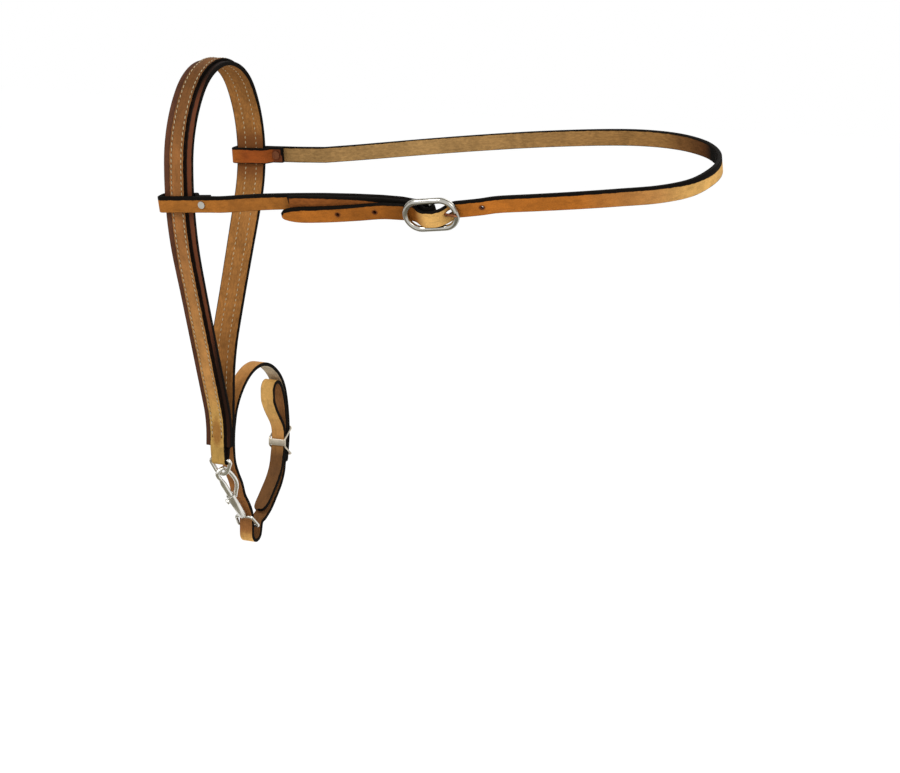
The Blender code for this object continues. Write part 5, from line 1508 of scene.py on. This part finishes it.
class NOSEBAND_OT_snap(PieceOperator, bpy.types.Operator):
    """Bolt snap: hook and barrel, and the sliding bolt with its knob"""

    bl_idname = "noseband.snap"
    bl_label = "Bolt snap"

    def execute(self, context):
        _, colours = self.settings(context)
        nickel = plated("snap_nickel", colours.bright, 0.20)
        route = smooth_route([snap_point(r, 0, s) for r, s in HOOK_ROUTE], 7)
        body = wire("snap_hook", route, HOOK_WIRE, sides=6)
        unite(body, down_rod("barrel", BARREL_RADIUS, BARREL_TOP, BARREL_END, 40))
        subtract(body, down_rod("bore", BARREL_BORE, BOLT_NOSE, BARREL_FLOOR, 40))
        subtract(body, down_rod("small_bore", SWIVEL_STEM + SWIVEL_PLAY, BARREL_FLOOR - HOLE_SPARE,
                                BARREL_END + HOLE_SPARE, 40))
        half = KNOB_STEM + CLEARANCE
        long = BOLT_TRAVEL + 2 * half + CLEARANCE
        slot = block("slot", (0.0, 0.0, 0.0), (BARREL_RADIUS * 1.5, 2 * half, long))
        turn = Matrix(snap_axes()).transposed().to_4x4()
        middle = snap_point(-BARREL_RADIUS * 0.75, 0, KNOB_AT - half + long / 2)
        slot.data.transform(Matrix.Translation(middle) @ turn)
        subtract(body, slot)
        bevel(body, SNAP_EDGE, 2, 50.0)
        smooth(body, 40.0)
        finish_piece(body, nickel, "snap", ["snap_body"])

        places, radii = [], []
        for (s0, r0), (s1, r1) in zip(BOLT_PROFILE, BOLT_PROFILE[1:]):
            for k in range(4):
                places.append(snap_point(0, 0, s0 + (s1 - s0) * k / 4))
                radii.append(r0 + (r1 - r0) * k / 4)
        places.append(snap_point(0, 0, BOLT_TAIL))
        radii.append(BOLT_RADIUS)
        bolt = wire("snap_bolt_rod", places, radii, sides=8)
        out = BARREL_RADIUS + 2 * CLEARANCE
        unite(bolt, rod("stem", KNOB_STEM, snap_point(-BOLT_RADIUS / 2, 0, KNOB_AT),
                        snap_point(-out - KNOB_THICK / 4, 0, KNOB_AT), 24))
        knob = rod("knob", KNOB_RADIUS, snap_point(-out, 0, KNOB_AT),
                   snap_point(-out - KNOB_THICK, 0, KNOB_AT))
        bevel(knob, KNOB_EDGE, 3)
        unite(bolt, knob)
        smooth(bolt, 40.0)
        finish_piece(bolt, nickel, "bolt", ["snap_bolt"])
        dress(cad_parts["snap_spring"], plated("spring_wire", colours.spring, 0.35))
        return {"FINISHED"}


class NOSEBAND_OT_swivel_eye(PieceOperator, bpy.types.Operator):
    """Swivel eye that the small loop hangs in"""

    bl_idname = "noseband.swivel_eye"
    bl_label = "Swivel eye"

    def execute(self, context):
        _, colours = self.settings(context)
        side = eye_side(snap_axes()[2])
        half = STRAP_WIDTH / 2 + EYE_BOTTOM_PLAY + EYE_WIRE
        top, low = snap_point(0, 0, EYE_TOP), eye_bar()
        corners = [top - side * EYE_TOP_HALF, top + side * EYE_TOP_HALF, low + side * half, low - side * half]
        eye = wire("eye", rounded_corners(corners, EYE_CORNERS), EYE_WIRE, closed=True, sides=6)
        head_top = BARREL_FLOOR - CLEARANCE - SWIVEL_HEAD_THICK
        unite(eye, down_rod("stem", SWIVEL_STEM, head_top + OVERLAP, EYE_TOP, 32))
        unite(eye, down_rod("head", SWIVEL_HEAD, head_top, BARREL_FLOOR - CLEARANCE, 32))
        unite(eye, down_rod("collar", EYE_COLLAR, BARREL_END + CLEARANCE, EYE_TOP - OVERLAP, 32))
        smooth(eye, 45.0)
        finish_piece(eye, plated("eye_nickel", colours.bright, 0.18), "eye", ["swivel_eye"])
        return {"FINISHED"}


class NOSEBAND_OT_loop_buckle(PieceOperator, bpy.types.Operator):
    """Slide buckle of the small loop: frame, flat bar and pin"""

    bl_idname = "noseband.loop_buckle"
    bl_label = "Loop buckle"

    def execute(self, context):
        _, colours = self.settings(context)
        radius = LOOP_BUCKLE_WIRE
        half_wide = STRAP_WIDTH / 2 + SLIDE_SIDE
        end_out = layer_out(0) + LOOP_THICK / 2 + 2 * CLEARANCE + radius
        bar_out = loop_bar_out()
        limb = [(end_out, -LOOP_BUCKLE_HALF), (bar_out, -SLIDE_SHOULDER), (bar_out, SLIDE_SHOULDER),
                (end_out, LOOP_BUCKLE_HALF)]
        corners = [loop_place(out, LOOP_BUCKLE_UP + side * up) + Vector((side * half_wide, 0.0, 0.0))
                   for side in (1, -1) for out, up in limb]
        ring = wire("slide_frame", rounded_corners(corners, SLIDE_CORNERS), radius, closed=True, sides=5)
        bar = block("slide_bar", loop_place(bar_out, LOOP_BUCKLE_UP),
                    (2 * half_wide + SLIDE_BAR_IN * radius, LOOP_BAR_THICK, LOOP_BAR_WIDTH))
        bevel(bar, SLIDE_EDGE, 3)
        unite(ring, bar)
        tip_out = layer_out(0) + LOOP_THICK / 2 + PIN_TIP
        unite(ring, rod("slide_pin", LOOP_PIN, loop_place(bar_out, LOOP_BUCKLE_UP),
                        loop_place(tip_out, LOOP_BUCKLE_UP), 24))
        smooth(ring, 45.0)
        plate = plated("slide_plate", colours.slide_plate, 0.42)
        finish_piece(ring, plate, "loop", ["loop_buckle"])
        return {"FINISHED"}


class NOSEBAND_OT_stage(PieceOperator, bpy.types.Operator):
    """Pale floor, soft studio light and the photograph's camera"""

    bl_idname = "noseband.stage"
    bl_label = "Stage"

    def execute(self, context):
        scene = context.scene
        select_none()
        bpy.ops.mesh.primitive_plane_add(size=FLOOR_SIZE, location=(0.0, 0.0, FLOOR_HEIGHT))
        floor = named("floor")
        n = Nodes(bpy.data.materials.new("pale_floor"))
        n.set(Base_Color=(0.88, 0.88, 0.88), Roughness=0.9)
        glow = n.add("Emission", {"Color": WHITE, "Strength": FLOOR_GLOW})
        n.show(n.times(n.seen(), FLOOR_GLOW_PART), n.shader, glow)
        floor.data.materials.append(n.owner)

        scene.world = bpy.data.worlds.new("studio")
        n = Nodes(scene.world)
        light, backdrop = [n.add("Background", {"Color": WHITE, "Strength": power}) for power in SKY]
        n.show(n.seen(), light, backdrop)

        n = Nodes(bpy.data.materials.new("dark_card"))
        n.set(Base_Color=(0.30, 0.28, 0.22), Roughness=1.0, Specular_IOR_Level=0.0)
        for name, place, target, wide, high in CARDS:
            select_none()
            bpy.ops.mesh.primitive_plane_add(size=1.0)
            card = named(name)
            card.data.transform(facing(place, target) @ Matrix.Diagonal((wide, high, 1.0, 1.0)))
            card.data.materials.append(n.owner)
            card.visible_camera = False
            card.visible_diffuse = False
            card.visible_shadow = False

        for name, place, width, power in LAMPS:
            lamp = bpy.data.lights.new(name, "AREA")
            lamp.energy = power
            lamp.size = width
            item = bpy.data.objects.new(name, lamp)
            scene.collection.objects.link(item)
            item.matrix_world = facing(place, LIT_PLACE)

        lens = bpy.data.cameras.new("photo_camera")
        lens.lens = CAMERA_LENS
        lens.sensor_width = 36.0
        lens.clip_end = 50.0
        camera = bpy.data.objects.new("photo_camera", lens)
        scene.collection.objects.link(camera)
        camera.matrix_world = (Matrix.Translation(CAMERA_AT) @ Matrix.Rotation(CAMERA_AZIMUTH, 4, "Z")
                               @ Matrix.Rotation(math.pi / 2 - CAMERA_ELEVATION, 4, "X")
                               @ Matrix.Rotation(CAMERA_ROLL, 4, "Z"))
        scene.camera = camera
        scene.view_settings.view_transform = "Standard"
        return {"FINISHED"}


PIECES = (NOSEBAND_OT_base_strap, NOSEBAND_OT_overlay, NOSEBAND_OT_crown_strap, NOSEBAND_OT_cheek_strap,
          NOSEBAND_OT_tie_down_loop, NOSEBAND_OT_crown_buckle, NOSEBAND_OT_screws, NOSEBAND_OT_dee,
          NOSEBAND_OT_snap, NOSEBAND_OT_swivel_eye, NOSEBAND_OT_loop_buckle, NOSEBAND_OT_stage)


class NOSEBAND_PT_pieces(bpy.types.Panel):
    """Lists the settings and the operators that make the pieces"""

    bl_idname = "NOSEBAND_PT_pieces"
    bl_label = "Tie-down noseband"
    bl_space_type = "VIEW_3D"
    bl_region_type = "UI"
    bl_category = "Noseband"

    def draw(self, context):
        layout = self.layout
        for group in (context.scene.noseband_sizes, context.scene.noseband_colours):
            for name in own_names(group):
                layout.prop(group, name)
        for piece in PIECES:
            layout.operator(piece.bl_idname)


CLASSES = (NosebandSizes, NosebandColours, *PIECES, NOSEBAND_PT_pieces)


def register():
    for item in CLASSES:
        bpy.utils.register_class(item)
    bpy.types.Scene.noseband_sizes = PointerProperty(type=NosebandSizes)
    bpy.types.Scene.noseband_colours = PointerProperty(type=NosebandColours)


def unregister():
    del bpy.types.Scene.noseband_colours
    del bpy.types.Scene.noseband_sizes
    for item in reversed(CLASSES):
        bpy.utils.unregister_class(item)


def main():
    register()
    bpy.ops.noseband.base_strap()
    bpy.ops.noseband.overlay()
    bpy.ops.noseband.crown_strap()
    bpy.ops.noseband.cheek_strap()
    bpy.ops.noseband.tie_down_loop()
    bpy.ops.noseband.crown_buckle()
    bpy.ops.noseband.screws()
    bpy.ops.noseband.dee()
    bpy.ops.noseband.snap()
    bpy.ops.noseband.swivel_eye()
    bpy.ops.noseband.loop_buckle()
    bpy.ops.noseband.stage()


if __name__ == "__main__":
    main()
